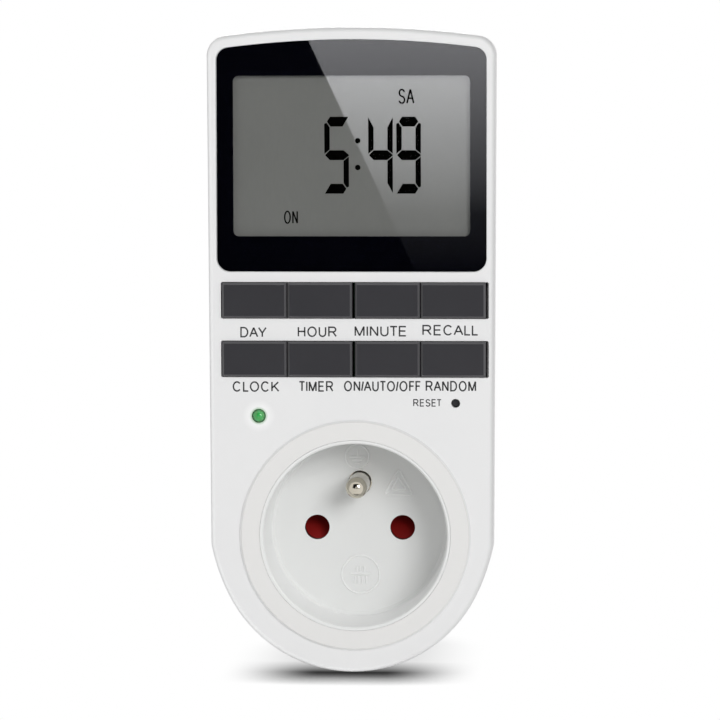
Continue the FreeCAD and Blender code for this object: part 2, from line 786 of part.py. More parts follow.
def rear_shell():
    body = keep(new_body("rear_shell"))
    outer = new_sketch(body, offset="case_split", shift=axis_shift)
    add_case_outline(outer, "shell_step")
    tray = pad(body, outer, "case_split - case_back", backward=True)
    link(tray, "TaperAngle", "-back_draft")
    round_edges(body, at_forward("case_back"), "back_bevel", "Chamfer")
    inner = new_sketch(body, offset="case_split", shift=axis_shift)
    add_case_outline(inner, "shell_step + side_wall")
    hollow = pocket(body, inner, "case_split - back_inside", backward=True)
    link(hollow, "TaperAngle", "-back_draft")
    boss = new_sketch(body, offset="case_back")
    add_circle(boss, "0", "0", "boss_rad")
    pad(body, boss, "case_back", backward=True)
    round_edges(body, ring_at("0", "boss_rad"), "boss_bevel", "Chamfer")
    bore = new_sketch(body, offset="face_thick")
    add_flats(bore, "0", "0", "boss_bore", 24)
    pocket(body, bore, "back_inside - face_thick")
    # guide notches at both sides, open at the plug's face
    notches = new_sketch(body, offset="0")
    for side in ("", "-"):
        edges = ["%s(boss_rad - notch_deep)" % side, "%s(boss_rad + notch_deep)" % side]
        if side:
            edges.reverse()
        add_box(notches, edges[0], edges[1], "-notch_tall / 2", "notch_tall / 2")
    pocket(body, notches, "notch_long")
    # grooves for the side earth contacts, closed at the plug's face, and their slots into the case
    grooves = new_sketch(body, offset="clip_end - clip_play")
    slots = new_sketch(body, offset="case_back - clip_play")
    for low, high, slot_low, slot_high in (
            ("boss_rad - groove_deep", "boss_rad + groove_deep",
             "boss_rad - groove_deep", "clip_rise + clip_thick + clip_play"),
            ("-boss_rad - groove_deep", "groove_deep - boss_rad",
             "-clip_rise - clip_thick - clip_play", "groove_deep - boss_rad")):
        add_box(grooves, "-clip_wide / 2 - clip_play", "clip_wide / 2 + clip_play", low, high)
        add_box(slots, "-clip_wide / 2 - clip_play", "clip_wide / 2 + clip_play", slot_low, slot_high)
    pocket(body, grooves, "case_back - clip_end + clip_play")
    pocket(body, slots, "back_wall + clip_play * 2")
    holes = new_sketch(body, offset="0")
    add_circle(holes, "pole_half", "0", "plug_collar + collar_play")
    add_circle(holes, "-pole_half", "0", "plug_collar + collar_play")
    add_circle(holes, "0", "earth_rise", "earth_hole")
    pocket(body, holes, "face_thick")
    posts = new_sketch(body, offset="back_inside")
    for x, z in case_posts:
        add_flats(posts, x, z, "rear_post")
    pad(body, posts, "post_meet - back_inside")
    wells = new_sketch(body, offset="case_back")
    passes = new_sketch(body, offset="case_back")
    for x, z in case_posts:
        add_circle(wells, x, z, "well_rad")
        add_flats(passes, x, z, "screw_hole")
    pocket(body, wells, "post_meet - seat_thick - case_back")
    pocket(body, passes, "post_meet - case_back")
    studs = new_sketch(body, offset="back_inside")
    for x, z in power_studs:
        add_flats(studs, x + " - case_shift", z, "stud_rad")
    pad(body, studs, "power_back - back_inside")
    pilots = new_sketch(body, offset="back_inside")
    for x, z in power_studs:
        add_flats(pilots, x + " - case_shift", z, "small_shank + thread_play")
    pocket(body, pilots, "power_back - back_inside")
    # two hooks that reach under the front shell's top wall
    hooks = new_sketch(body, offset="case_split - hook_long", shift=axis_shift)
    for side in ("hook_side", "-hook_side"):
        add_box(hooks, side + " - hook_wide / 2", side + " + hook_wide / 2", "hook_rise", "hook_rise + hook_thick")
    pad(body, hooks, "2 * hook_long")
    roots = new_sketch(body, offset="case_split - hook_long", shift=axis_shift)
    for side in ("hook_side", "-hook_side"):
        add_box(roots, side + " - hook_wide / 2", side + " + hook_wide / 2",
                "hook_rise", "crown_apex - side_wall")
    pad(body, roots, "hook_long - seam_gap")


def display_lens():
    body = keep(new_body("display_lens"))
    sketch = new_sketch(body, offset="lens_back", shift=axis_shift)
    add_panel_outline(sketch, "lens_gap")
    pad(body, sketch, "lens_thick")


def display_mask():
    body = keep(new_body("display_mask"))
    sketch = new_sketch(body, offset="mask_front", shift=axis_shift)
    add_panel_outline(sketch, "lens_gap")
    pad(body, sketch, "mask_thick", backward=True)
    view = new_sketch(body, offset="mask_front", shift=axis_shift)
    add_rounded_box(view, "-view_wide / 2", "view_wide / 2", "view_low", "view_high", "view_round")
    pocket(body, view, "mask_thick", backward=True)


def lcd_glass():
    keep(block("lcd_glass", "-glass_wide / 2 - case_shift", "glass_wide / 2 - case_shift",
               "glass_back", "glass_front", "glass_low", "glass_high"))


def lcd_frame():
    body = keep(new_body("lcd_frame"))
    outer = new_sketch(body, offset="board_front", shift=axis_shift)
    half = "glass_wide / 2 + glass_play"
    add_box(outer, "-(%s) - frame_border" % half, half + " + frame_border",
            "glass_low - frame_foot", "glass_high + glass_play + frame_foot")
    pad(body, outer, "inner_front - board_front")
    seat = new_sketch(body, offset="glass_back", shift=axis_shift)
    add_box(seat, "-(%s)" % half, half, "glass_low - glass_play", "glass_high + glass_play")
    pocket(body, seat, "glass_thick + glass_play")
    middle = new_sketch(body, offset="board_front", shift=axis_shift)
    add_box(middle, "-view_wide / 2", "view_wide / 2", "view_low", "view_high")
    add_box(middle, "-view_wide / 2", "view_wide / 2",
            "glass_high - strip_inset - strip_tall", "glass_high - strip_inset")
    pocket(body, middle, "glass_back - board_front")
    # thinned from behind, which leaves a lip round the glass and the strip's own walls
    back = new_sketch(body, offset="board_front", shift=axis_shift)
    add_box(back, "-glass_wide / 2", "glass_wide / 2", "glass_low", "view_high")
    pocket(body, back, "glass_back - board_front - frame_lip")


def zebra_strip():
    keep(block("zebra_strip", "-view_wide / 2 + glass_play - case_shift", "view_wide / 2 - glass_play - case_shift",
               "board_front", "glass_back",
               "glass_high - strip_inset - strip_tall + glass_play", "glass_high - strip_inset - glass_play"))


# A key cap with bevelled front edges, lips above and below, and a stem that meets its switch.
def key(label, column, row):
    body = keep(new_body(label))
    cap = new_sketch(body, offset="inner_front - key_skirt")
    add_box(cap, "-key_wide / 2", "key_wide / 2", "key_play - window_tall / 2", "window_tall / 2 - key_play")
    pad(body, cap, "front_wall + key_proud + key_skirt")
    round_edges(body, at_forward("case_front + key_proud"), "key_bevel", "Chamfer")
    lip = new_sketch(body, offset="inner_front")
    add_box(lip, "-key_wide / 2", "key_wide / 2", "-window_tall / 2 - key_lip", "window_tall / 2 + key_lip")
    pad(body, lip, "key_lip_thick", backward=True)
    stem = new_sketch(body, offset="inner_front - key_skirt")
    add_box(stem, "-stem_side / 2", "stem_side / 2", "-stem_side / 2", "stem_side / 2")
    pad(body, stem, "inner_front - key_skirt - stem_end", backward=True)
    place(body, column, "0", row)


def switch_plunger(label, x, z):
    keep(prism(label, "plunger_sides", x, z, "board_front + switch_tall - plunger_sunk", "stem_end", "plunger_rad"))


# All switch bodies are alike and sit on one board: a square case with a well for its plunger.
def switch_case(label, x, z):
    case = block(label + "_case", "%s - switch_side / 2" % x, "%s + switch_side / 2" % x,
                 "board_front", "board_front + switch_tall", "%s - switch_side / 2" % z, "%s + switch_side / 2" % z)
    well = prism(label + "_well", "plunger_sides", x, z, "board_front + switch_tall - switch_bore",
                 "board_front + switch_tall", "plunger_rad + plunger_play")
    return cut(label, case, well)


def reset_button():
    body = keep(new_body("reset_button"))
    head = new_sketch(body, offset="stem_end")
    add_circle(head, "0", "0", "reset_rad")
    pad(body, head, "case_front - reset_sunk - stem_end")
    flange = new_sketch(body, offset="stem_end")
    add_flats(flange, "0", "0", "reset_flange")
    pad(body, flange, "key_lip_thick")
    place(body, "reset_side", "0", "reset_rise")


# A quarter round in short flats, from a profile's outer side to its end. Its corner is at (reach, level),
# and away is the sign of the way in from the corner along the second axis.
def quarter_round(reach, level, radius, away, steps):
    spots = []
    for i in range(steps + 1):
        turn = 90.0 * i / steps
        spots.append(("%s - %s + %s * cos(%g)" % (reach, radius, radius, turn),
                      "%s %s %s * (1 - sin(%g))" % (level, away, radius, turn)))
    return spots


def status_led():
    body = keep(new_body("status_led"))
    tip = "case_front + lamp_proud"
    base = tip + " - lamp_tall"
    profile = new_sketch(body, "XY_Plane")
    flange = "lamp_rad + lamp_flange"
    dome = quarter_round("lamp_rad", "-(%s)" % tip, "lamp_dome", "+", 2)
    add_polygon(profile, [
        ("0", "-(%s)" % tip), ("0", "-(%s)" % base), (flange, "-(%s)" % base),
        (flange, "-(%s + lamp_base)" % base), ("lamp_rad", "-(%s + lamp_base)" % base)] + dome)
    revolve(body, profile)
    leads = new_sketch(body, offset=base)
    for side in ("-lead_pitch / 2", "lead_pitch / 2"):
        add_box(leads, side + " - lamp_lead / 2", side + " + lamp_lead / 2", "-lamp_lead / 2", "lamp_lead / 2")
    pad(body, leads, base + " - board_front", backward=True)
    place(body, "-lamp_side", "0", "lamp_rise")


# The cup of the socket: mouth lip, tapered wall, floor, and a skirt behind it that houses the shutter.
def socket_insert():
    body = keep(new_body("socket_insert"))
    profile = new_sketch(body, "XY_Plane")
    lip = "mouth_rad + lip_wide"
    corner = quarter_round("floor_rad", "-floor_front", "floor_round", "-", 2)
    add_polygon(profile, [("0", "-floor_front")] + corner[::-1] + [
        ("mouth_rad", "lip_bevel - collar_top"),
        ("mouth_rad + lip_bevel", "-collar_top"),
        (lip, "-collar_top"),
        (lip, "-inner_front"),
        ("cup_rad", "-inner_front"),
        ("cup_rad", "-skirt_end"),
        ("skirt_rad", "-skirt_end"),
        ("skirt_rad", "-floor_back"),
        ("0", "-floor_back")])
    revolve(body, profile)
    posts = new_sketch(body, offset="skirt_end")
    for x, z in carrier_posts:
        add_flats(posts, x, z, "carrier_post_rad")
    pad(body, posts, "skirt_long")
    seat = new_sketch(body, offset="skirt_end + shutter_play")
    add_box(seat, "-seat_half", "seat_half", "-skirt_rad", "-spring_seat")
    pad(body, seat, "skirt_long - shutter_play")
    holes = new_sketch(body, offset="floor_back")
    add_circle(holes, "pole_half", "0", "hole_rad")
    add_circle(holes, "-pole_half", "0", "hole_rad")
    add_circle(holes, "0", "earth_rise", "earth_collar + collar_play")
    pocket(body, holes, "floor_thick")
    pilots = new_sketch(body, offset="skirt_end")
    for x, z in carrier_posts:
        add_flats(pilots, x, z, "small_shank + thread_play")
    pocket(body, pilots, "skirt_long")


# A turned pin: round tip, shank, a collar flush with the face that it leaves, and a tail in flats.
def turned_pin(label, x, z, tip, face, collar, behind, tail_end):
    body = keep(new_body(label))
    forward = number(tip) > number(face)
    level = "-(%s)" % tip
    profile = new_sketch(body, "XY_Plane")
    add_polygon(profile, [
        ("0", "-(%s)" % behind), (collar, "-(%s)" % behind), (collar, "-(%s)" % face),
        ("pin_rad", "-(%s)" % face)]
        + quarter_round("pin_rad", level, "pin_rad", "+" if forward else "-", 2)[:-1] + [("0", level)])
    revolve(body, profile)
    tail = new_sketch(body, offset=behind)
    add_flats(tail, "0", "0", "tail_rad")
    pad(body, tail, "(%s) - (%s)" % ordered(tail_end, behind, not forward), backward=forward)
    place(body, x, "0", z)


def pins():
    turned_pin("earth_pin", "0", "earth_rise", "floor_front + earth_long", "floor_front", "earth_collar",
               "floor_back", "bridge_front")
    turned_pin("plug_pin_left", "-pole_half", "0", "-pin_long", "0", "plug_collar", "face_thick", "left_tail")
    turned_pin("plug_pin_right", "pole_half", "0", "-pin_long", "0", "plug_collar", "face_thick",
               "grip_back - strap_thick")


# The shutter: a bar across both pole holes whose sloped face lets two pins push it down together.
def socket_shutter():
    body = keep(new_body("socket_shutter"))
    profile = new_sketch(body, "YZ_Plane")
    front = "-(floor_back - shutter_play)"
    back = "-(skirt_end + shutter_play)"
    add_polygon(profile, [
        (front, "-shutter_drop"), (back, "-shutter_drop"), (back, "shutter_rise"),
        (front, "shutter_toe - shutter_drop")])
    pad_middle(body, profile, "2 * shutter_half")


# A leaf spring folded to and fro, which stands on the seat below the shutter and holds it up.
def shutter_spring():
    fold = "(spring_seat - shutter_drop - leaf_thick) / leaf_folds"
    back = "(%s + %s - leaf_wide) / 2" % ("floor_back", "skirt_end")
    solids = []
    for i in range(int(number("leaf_folds")) + 1):
        low = "%d * %s - spring_seat" % (i, fold)
        high = low + " + leaf_thick"
        front = back + " + leaf_wide"
        solids.append(block("spring_leaf_%d" % i, "-leaf_half", "leaf_half", back, front, low, high))
        if i:
            left, right = ("-leaf_half", "leaf_thick - leaf_half") if i % 2 else ("leaf_half - leaf_thick", "leaf_half")
            solids.append(block("spring_turn_%d" % i, left, right, back, front,
                                "%d * %s - spring_seat" % (i - 1, fold), high))
    keep(fuse_shapes("shutter_spring", solids))


def contact_carrier():
    body = keep(new_body("contact_carrier"))
    plate = new_sketch(body, offset="skirt_end - carrier_thick")
    add_flats(plate, "0", "0", "carrier_rad", 24)
    pad(body, plate, "carrier_thick")
    middle = new_sketch(body, offset="block_back")
    add_box(middle, "-block_half", "block_half", "-block_rise", "block_rise")
    pad(body, middle, "skirt_end - block_back")
    holes = new_sketch(body, offset="block_back")
    for side in ("pole_half", "-pole_half"):
        add_flats(holes, side, "0", "grip_rad + grip_wall + carrier_play", 12)
    add_flats(holes, "0", "earth_rise", "tail_rad + carrier_play")
    for x, z in carrier_posts:
        add_flats(holes, x, z, "small_shank + carrier_play")
    pocket(body, holes, "skirt_end - block_back")


# A pole contact: a slit sleeve that grips a pin, its base, and a strap that climbs to the power board.
def pole_contact(label, side):
    body = keep(new_body(label))
    sign = "-" if side < 0 else ""
    centre = sign + "pole_half"
    sleeve = new_sketch(body, offset="grip_back")
    add_flats(sleeve, centre, "0", "grip_rad + grip_wall", 12)
    add_flats(sleeve, centre, "0", "grip_rad", 12)
    pad(body, sleeve, "grip_front - grip_back")
    slit = new_sketch(body, offset="grip_back + strap_rise")
    add_box(slit, centre + " - grip_slit / 2", centre + " + grip_slit / 2",
            "-grip_rad - 2 * grip_wall", "grip_rad + 2 * grip_wall")
    pocket(body, slit, "grip_front - grip_back")
    base = new_sketch(body, offset="grip_back - strap_thick")
    add_box(base, centre + " - grip_rad - grip_wall", centre + " + grip_rad + grip_wall",
            "-grip_rad - grip_wall", "strap_rise + strap_thick")
    pad(body, base, "strap_thick")
    # the strap lies on the side towards the middle of the plug
    inner = "strap_gap / 2 - pole_half" if side < 0 else "pole_half - strap_gap / 2 - strap_wide"
    strap = new_sketch(body, "YZ_Plane", offset=inner)
    add_strap(strap, "-(grip_back - strap_thick)", "strap_rise")
    pad(body, strap, "strap_wide")


# The path of a strap in the YZ plane: back along the case's depth, then up to the power board.
def add_strap(sketch, start, rise):
    add_polygon(sketch, [
        (start, rise), (start, rise + " + strap_thick"),
        ("strap_thick - bridge_front", rise + " + strap_thick"),
        ("strap_thick - bridge_front", "power_low + 2 * strap_thick"),
        ("-power_back", "power_low + 2 * strap_thick"),
        ("-power_back", "power_low + strap_thick"),
        ("-bridge_front", "power_low + strap_thick"),
        ("-bridge_front", rise)])


# The strap that takes the left plug pin to the power board, outside the pole contact's own strap.
def supply_strap():
    body = keep(new_body("supply_strap"))
    outer = "-pole_half - strap_gap / 2 - strap_wide"
    foot = new_sketch(body, offset="left_tail")
    add_box(foot, outer, "tail_rad - pole_half", "-tail_rad", "supply_rise + strap_thick")
    pad(body, foot, "strap_thick")
    strap = new_sketch(body, "YZ_Plane", offset=outer)
    add_strap(strap, "-left_tail", "supply_rise")
    pad(body, strap, "strap_wide")


# A side earth contact: a strip bowed outwards in its groove that ends on the bridge inside.
def earth_clip(label, sign):
    body = keep(new_body(label))
    ends = "strap_thick - bridge_front"
    path = [("-clip_end", "0"), ("-clip_end - clip_ramp", "clip_bow"),
            ("clip_ramp - case_back + clip_bow", "clip_bow"), ("clip_bow - case_back", "0"), (ends, "0")]
    outline = [(y, "%s(clip_rise + clip_thick + %s)" % (sign, rise)) for y, rise in path]
    outline += [(y, "%s(clip_rise + %s)" % (sign, rise)) for y, rise in reversed(path)]
    profile = new_sketch(body, "YZ_Plane")
    add_polygon(profile, outline)
    pad_middle(body, profile, "clip_wide")


def earth_bridge():
    keep(block("earth_bridge", "-clip_wide / 2", "clip_wide / 2", "bridge_front - bridge_thick", "bridge_front",
               "-clip_rise - clip_thick", "clip_rise + clip_thick"))


# The sleeve behind the plug's earth hole, slit so that it grips the wall socket's pin.
def earth_sleeve():
    body = keep(new_body("earth_sleeve"))
    ring = new_sketch(body, offset="sleeve_start")
    add_flats(ring, "0", "earth_rise", "sleeve_rad", 12)
    add_flats(ring, "0", "earth_rise", "sleeve_rad + sleeve_wall", 12)
    pad(body, ring, "bridge_front - bridge_thick - sleeve_start")
    slit = new_sketch(body, offset="sleeve_start")
    add_box(slit, "-grip_slit / 2", "grip_slit / 2",
            "earth_rise - sleeve_rad - 2 * sleeve_wall", "earth_rise + sleeve_rad + 2 * sleeve_wall")
    pocket(body, slit, "pole_half")


def main_board():
    body = keep(new_body("main_board"))
    outline = new_sketch(body, offset="board_front")
    add_box(outline, "-board_half - case_shift", "board_half - case_shift", "board_low", "board_high")
    pad(body, outline, "board_thick", backward=True)
    holes = new_sketch(body, offset="board_back")
    for x, z in case_posts[:2]:
        add_flats(holes, x, z, "front_post + post_play")
    for x, z in board_studs:
        add_flats(holes, x + " - case_shift", z, "small_shank + post_play")
    pocket(body, holes, "board_thick")


def power_board():
    body = keep(new_body("power_board"))
    outline = new_sketch(body, offset="power_back")
    add_box(outline, "-power_half - case_shift", "power_half - case_shift", "power_low", "power_high")
    pad(body, outline, "board_thick")
    holes = new_sketch(body, offset="power_back")
    for x, z in power_studs:
        add_flats(holes, x + " - case_shift", z, "small_shank + post_play")
    pocket(body, holes, "board_thick")


# Boxed parts on the boards: left edge, lower edge, width, height and depth each.
def boxed_part(name, foot, away):
    far = "%s %s %s_deep" % (foot, away, name)
    back, front = (far, foot) if away == "-" else (foot, far)
    keep(block(name, name + "_left", "%s_left + %s_wide" % (name, name), back, front,
               name + "_low", "%s_low + %s_tall" % (name, name)))


def electrolytic_capacitor():
    keep(prism("electrolytic_capacitor", "round_sides", "can_side", "can_rise",
               "power_front", "power_front + can_deep", "can_rad"))


def backup_battery():
    keep(prism("backup_battery", "round_sides", "cell_side", "cell_rise",
               "board_back - cell_deep", "board_back", "cell_rad"))


# A glass fuse in its two end caps, held off the board by a foot under each cap.
def fuse():
    centre = "power_front + fuse_rad + fuse_foot"
    tube = rod("fuse_tube", "fuse_side", centre, "fuse_low", "fuse_low + fuse_long", "fuse_rad - fuse_foot / 4")
    solids = [tube]
    for end, low in (("low", "fuse_low"), ("high", "fuse_low + fuse_long - fuse_cap")):
        solids.append(rod("fuse_cap_" + end, "fuse_side", centre, low, low + " + fuse_cap", "fuse_rad"))
        solids.append(block("fuse_foot_" + end, "fuse_side - fuse_foot", "fuse_side + fuse_foot",
                            "power_front", centre, low, low + " + fuse_cap"))
    keep(fuse_shapes("fuse", solids))


def crystal():
    can = rod("crystal_can", "crystal_side", "board_back - crystal_rad", "crystal_low",
              "crystal_low + crystal_long", "crystal_rad")
    keep(can).Label = "crystal"


# A disc on two short legs.
def varistor():
    centre = "power_front + disc_foot + disc_rad"
    solids = [rod("varistor_disc", "disc_side", centre, "disc_low", "disc_low + disc_thick", "disc_rad")]
    for name, side in (("left", "disc_side - disc_rad / 2"), ("right", "disc_side + disc_rad / 2")):
        solids.append(block("varistor_leg_" + name, side + " - link_pin / 2", side + " + link_pin / 2",
                            "power_front", centre, "disc_low + disc_thick / 2 - link_pin / 2",
                            "disc_low + disc_thick / 2 + link_pin / 2"))
    keep(fuse_shapes("varistor", solids))


# Rows of pins that join the two boards, with a spacer at each end.
def board_link():
    first = "-(link_pins - 1) / 2 * lead_pitch - case_shift"
    solids = []
    for end, back, front in (("back", "power_front", "power_front + link_base"),
                             ("front", "board_back - link_base", "board_back")):
        solids.append(block("link_" + end, first + " - lead_pitch / 2",
                            "(link_pins - 1) / 2 * lead_pitch - case_shift + lead_pitch / 2",
                            back, front, "link_rise - link_base / 2", "link_rise + link_base / 2"))
    for i in range(int(number("link_pins"))):
        x = "%s + %d * lead_pitch" % (first, i)
        solids.append(block("link_pin_%d" % i, x + " - link_pin / 2", x + " + link_pin / 2",
                            "power_front", "board_back", "link_rise - link_pin / 2", "link_rise + link_pin / 2"))
    keep(fuse_shapes("board_link", solids))


# The two ends of a span, the one further back first.
def ordered(near, far, turned):
    return (near, far) if turned else (far, near)


# A screw whose head lies behind its seat, or before it when turned round.
def screw(label, x, z, seat, turned, head, thick, shank, length, sides):
    away, along = ("+", "-") if turned else ("-", "+")
    head_end = "%s %s %s" % (seat, away, thick)
    tip = "%s %s %s" % (seat, along, length)
    stem = prism(label + "_shank", "shank_sides", x, z, *ordered(tip, seat, turned), shank)
    cap = prism(label + "_head", sides, x, z, *ordered(seat, head_end, turned), head)
    return fuse_shapes(label, [cap, stem])


def screw_set(label, places, seat, turned, kind):
    screws = []
    for i, (x, z) in enumerate(places):
        screws.append(screw("%s_%d" % (label, i), x, z, seat, turned, *kind))
    keep(group(label, screws))


# The keys in reading order, each with its switch plunger; all switch bodies are one set.
def keys_and_switches():
    names = [["day", "hour", "minute", "recall"], ["clock", "timer", "mode", "random"]]
    cases = []
    for row, row_names in zip(rows, names):
        for column, name in zip(columns, row_names):
            key(name + "_key", column, row)
            switch_plunger(name + "_plunger", column, row)
            cases.append(switch_case(name + "_switch", column, row))
    reset_button()
    switch_plunger("reset_plunger", "reset_side", "reset_rise")
    cases.append(switch_case("reset_switch", "reset_side", "reset_rise"))
    keep(group("key_switches", cases))


def screws():
    small = ("small_head", "small_head_thick", "small_shank", "small_long", "hex_sides")
    large = ("screw_head", "head_thick", "screw_shank", "screw_long", "shank_sides")
    screw_set("case_screws", case_posts, "post_meet - seat_thick", False, large)
    screw_set("carrier_screws", carrier_posts, "skirt_end - carrier_thick", False, small)
    screw_set("board_screws", [(x + " - case_shift", z) for x, z in board_studs], "board_back", False, small)
    screw_set("power_screws", [(x + " - case_shift", z) for x, z in power_studs], "power_front", True, small)


# Every feature must be sound, every cut must remove material and every pad must add some.
def check():
    for obj in doc.Objects:
        if "Invalid" in obj.State or "Error" in obj.State:
            raise ValueError("%s failed: %s" % (obj.Name, obj.State))
        base = getattr(obj, "BaseFeature", None)
        if base is None or not hasattr(obj, "AddSubShape"):
            continue
        gain = obj.Shape.Volume - base.Shape.Volume
        wrong_way = gain > 0 if obj.TypeId == "PartDesign::Pocket" else gain < 0
        if abs(gain) < tiny or wrong_way and obj.TypeId in ("PartDesign::Pocket", "PartDesign::Pad"):
            raise ValueError("%s changes the volume by %.3f" % (obj.Name, gain))
    for piece in pieces:
        if piece.Shape.isNull() or not piece.Shape.isValid():
            raise ValueError("%s has no valid shape" % piece.Label)


def write_parts():
    for piece in pieces:
        piece.Shape.exportStep("parts/%s.step" % piece.Label)
        box = piece.Shape.BoundBox
        print("%-22s %2d solids %10.2f mm3  x %7.2f %7.2f  y %7.2f %7.2f  z %7.2f %7.2f" % (
            piece.Label, len(piece.Shape.Solids), piece.Shape.Volume,
            box.XMin, box.XMax, box.YMin, box.YMax, box.ZMin, box.ZMax))


front_shell()
rear_shell()
display_lens()
display_mask()
lcd_glass()
lcd_frame()
zebra_strip()
keys_and_switches()
status_led()
socket_insert()
pins()
socket_shutter()
shutter_spring()
contact_carrier()
pole_contact("live_contact", -1)
pole_contact("neutral_contact", 1)
supply_strap()
earth_clip("earth_clip_top", "")
earth_clip("earth_clip_bottom", "-")
earth_bridge()
earth_sleeve()
main_board()
power_board()
for part_name in ("relay", "film_capacitor", "bridge_rectifier"):
    boxed_part(part_name, "power_front", "+")
boxed_part("controller_chip", "board_back", "-")
electrolytic_capacitor()
varistor()
fuse()
backup_battery()
crystal()
board_link()
screws()
doc.recompute()
check()
write_parts()
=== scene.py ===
import bpy
import bmesh
import math
from mathutils import Matrix, Vector


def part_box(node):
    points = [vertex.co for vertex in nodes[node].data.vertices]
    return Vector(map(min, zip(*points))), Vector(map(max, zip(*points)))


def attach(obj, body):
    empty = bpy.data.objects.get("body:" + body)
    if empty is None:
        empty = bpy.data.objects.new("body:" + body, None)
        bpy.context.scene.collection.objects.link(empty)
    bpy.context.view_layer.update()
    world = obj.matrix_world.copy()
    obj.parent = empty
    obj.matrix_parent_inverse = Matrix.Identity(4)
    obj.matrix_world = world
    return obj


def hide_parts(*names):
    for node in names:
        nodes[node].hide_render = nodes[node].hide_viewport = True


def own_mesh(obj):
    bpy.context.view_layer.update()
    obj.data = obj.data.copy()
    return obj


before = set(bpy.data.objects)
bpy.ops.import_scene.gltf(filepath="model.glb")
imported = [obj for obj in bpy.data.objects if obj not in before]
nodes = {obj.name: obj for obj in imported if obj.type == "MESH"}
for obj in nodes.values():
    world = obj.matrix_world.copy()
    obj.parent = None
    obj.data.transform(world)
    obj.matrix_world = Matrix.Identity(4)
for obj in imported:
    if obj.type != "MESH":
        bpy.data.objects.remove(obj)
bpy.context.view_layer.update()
scene = bpy.context.scene
mm = 0.001
socketFloor = 36.5  # how far the floor of the socket lies ahead of the plug's face
lampPlace = (-21.0, 26.14)  # the status lamp's axis, across and up
lampRadius = 1.45
leastMitre = 0.5  # a ridge's sharpest corner is 1 / leastMitre times as wide as its line


def spot(x, forward, z):
    # millimetres to metres; forward is counted from the plug's face
    return Vector((x, -forward, z)) * mm


class Wire:
    # one output of a node; sums written with it add nodes to its tree

    def __init__(self, finish, socket):
        self.finish = finish
        self.socket = socket

    def combine(self, operation, first, second):
        kind = "VectorMath" if self.socket.type in ("VECTOR", "RGBA") else "Math"
        return self.finish.node(kind, {"operation": operation}, {0: first, 1: second})

    def __add__(self, other):
        return self.combine("ADD", self, other)

    def __radd__(self, other):
        return self.combine("ADD", other, self)

    def __sub__(self, other):
        return self.combine("SUBTRACT", self, other)

    def __rsub__(self, other):
        return self.combine("SUBTRACT", other, self)

    def __mul__(self, other):
        return self.combine("MULTIPLY", self, other)

    def __rmul__(self, other):
        return self.combine("MULTIPLY", other, self)

    def __pow__(self, other):
        return self.combine("POWER", self, other)

    def __rpow__(self, other):
        return self.combine("POWER", other, self)


class Finish:
    # a material, or the world, while its nodes are put together

    def __init__(self, owner, output="OutputMaterial"):
        self.owner = owner
        owner.use_nodes = True
        self.tree = owner.node_tree
        self.tree.nodes.clear()
        self.output = self.tree.nodes.new("ShaderNode" + output)

    def node(self, kind, settings=None, inputs=None, output=0):
        made = self.tree.nodes.new("ShaderNode" + kind)
        for key, value in (settings or {}).items():
            if key == "stops":
                self.setStops(made.color_ramp, value)
            else:
                setattr(made, key, value)
        for key, value in (inputs or {}).items():
            if isinstance(value, Wire):
                self.tree.links.new(value.socket, made.inputs[key])
            elif not isinstance(value, (int, float)) and made.inputs[key].type == "RGBA":
                made.inputs[key].default_value = (*value[:3], 1)
            else:
                made.inputs[key].default_value = value
        return Wire(self, made.outputs[output])

    def setStops(self, ramp, stops):
        while len(ramp.elements) > 1:
            ramp.elements.remove(ramp.elements[-1])
        for index, (place, colour) in enumerate(stops):
            element = ramp.elements[0] if index == 0 else ramp.elements.new(place)
            element.position = place
            element.color = (*colour, 1)

    def show(self, wire):
        self.tree.links.new(wire.socket, self.output.inputs["Surface"])
        return self.owner

    def place(self):
        return self.node("TexCoord", output="Object")

    def normal(self):
        return self.node("NewGeometry", output="Normal")

    def parts(self, vector):
        split = self.node("SeparateXYZ", None, {0: vector}).socket.node
        return [Wire(self, output) for output in split.outputs]

    def millimetres(self, where):
        # a place's x, y and z; y grows towards the back
        return self.parts(where * (1 / mm, 1 / mm, 1 / mm))

    def size(self, value):
        return self.node("Math", {"operation": "ABSOLUTE"}, {0: value})

    def larger(self, first, second):
        return self.node("Math", {"operation": "MAXIMUM"}, {0: first, 1: second})

    def noise(self, vector, scale, detail=2.0, roughness=0.5):
        inputs = {"Vector": vector, "Scale": scale, "Detail": detail, "Roughness": roughness}
        return self.node("TexNoise", None, inputs)

    def mixed(self, share, first, second):
        # a colour mix; share is 0 for the first and 1 for the second
        return self.node("Mix", {"data_type": "RGBA"}, {0: share, 6: first, 7: second}, output=2)

    def limits(self, value, low, high, newLow, newHigh, blend="LINEAR"):
        ends = {"Value": value, "From Min": low, "From Max": high, "To Min": newLow, "To Max": newHigh}
        return self.node("MapRange", {"interpolation_type": blend}, ends)

    def gloss(self, noise, span, look):
        # a roughness that wanders a little about its mean
        return self.limits(noise, *span, look["rough"] - look["uneven"], look["rough"] + look["uneven"])

    def bump(self, height, distance):
        return self.node("Bump", None, {"Height": height, "Distance": distance})


def newFinish(name):
    return Finish(bpy.data.materials.new(name))


def within(finish, across, up, start, end):
    # 1 nearer than start to an axis that runs from back to front, 0 beyond end
    return finish.limits((across * across + up * up) ** 0.5, start, end, 1, 0)


def fromLamp(x, z):
    # how far a place lies from the lamp's axis, across and up
    return x - lampPlace[0], z - lampPlace[1]


def inShadedWells(finish, where, wells):
    # 1 on the walls of the two pole holes, which stand in the shutter's shade
    x, y, z = finish.millimetres(where)
    deep = finish.limits(y, *wells["face"], 0, 1)
    return within(finish, finish.size(x) - wells["side"], z, *wells["radius"]) * deep


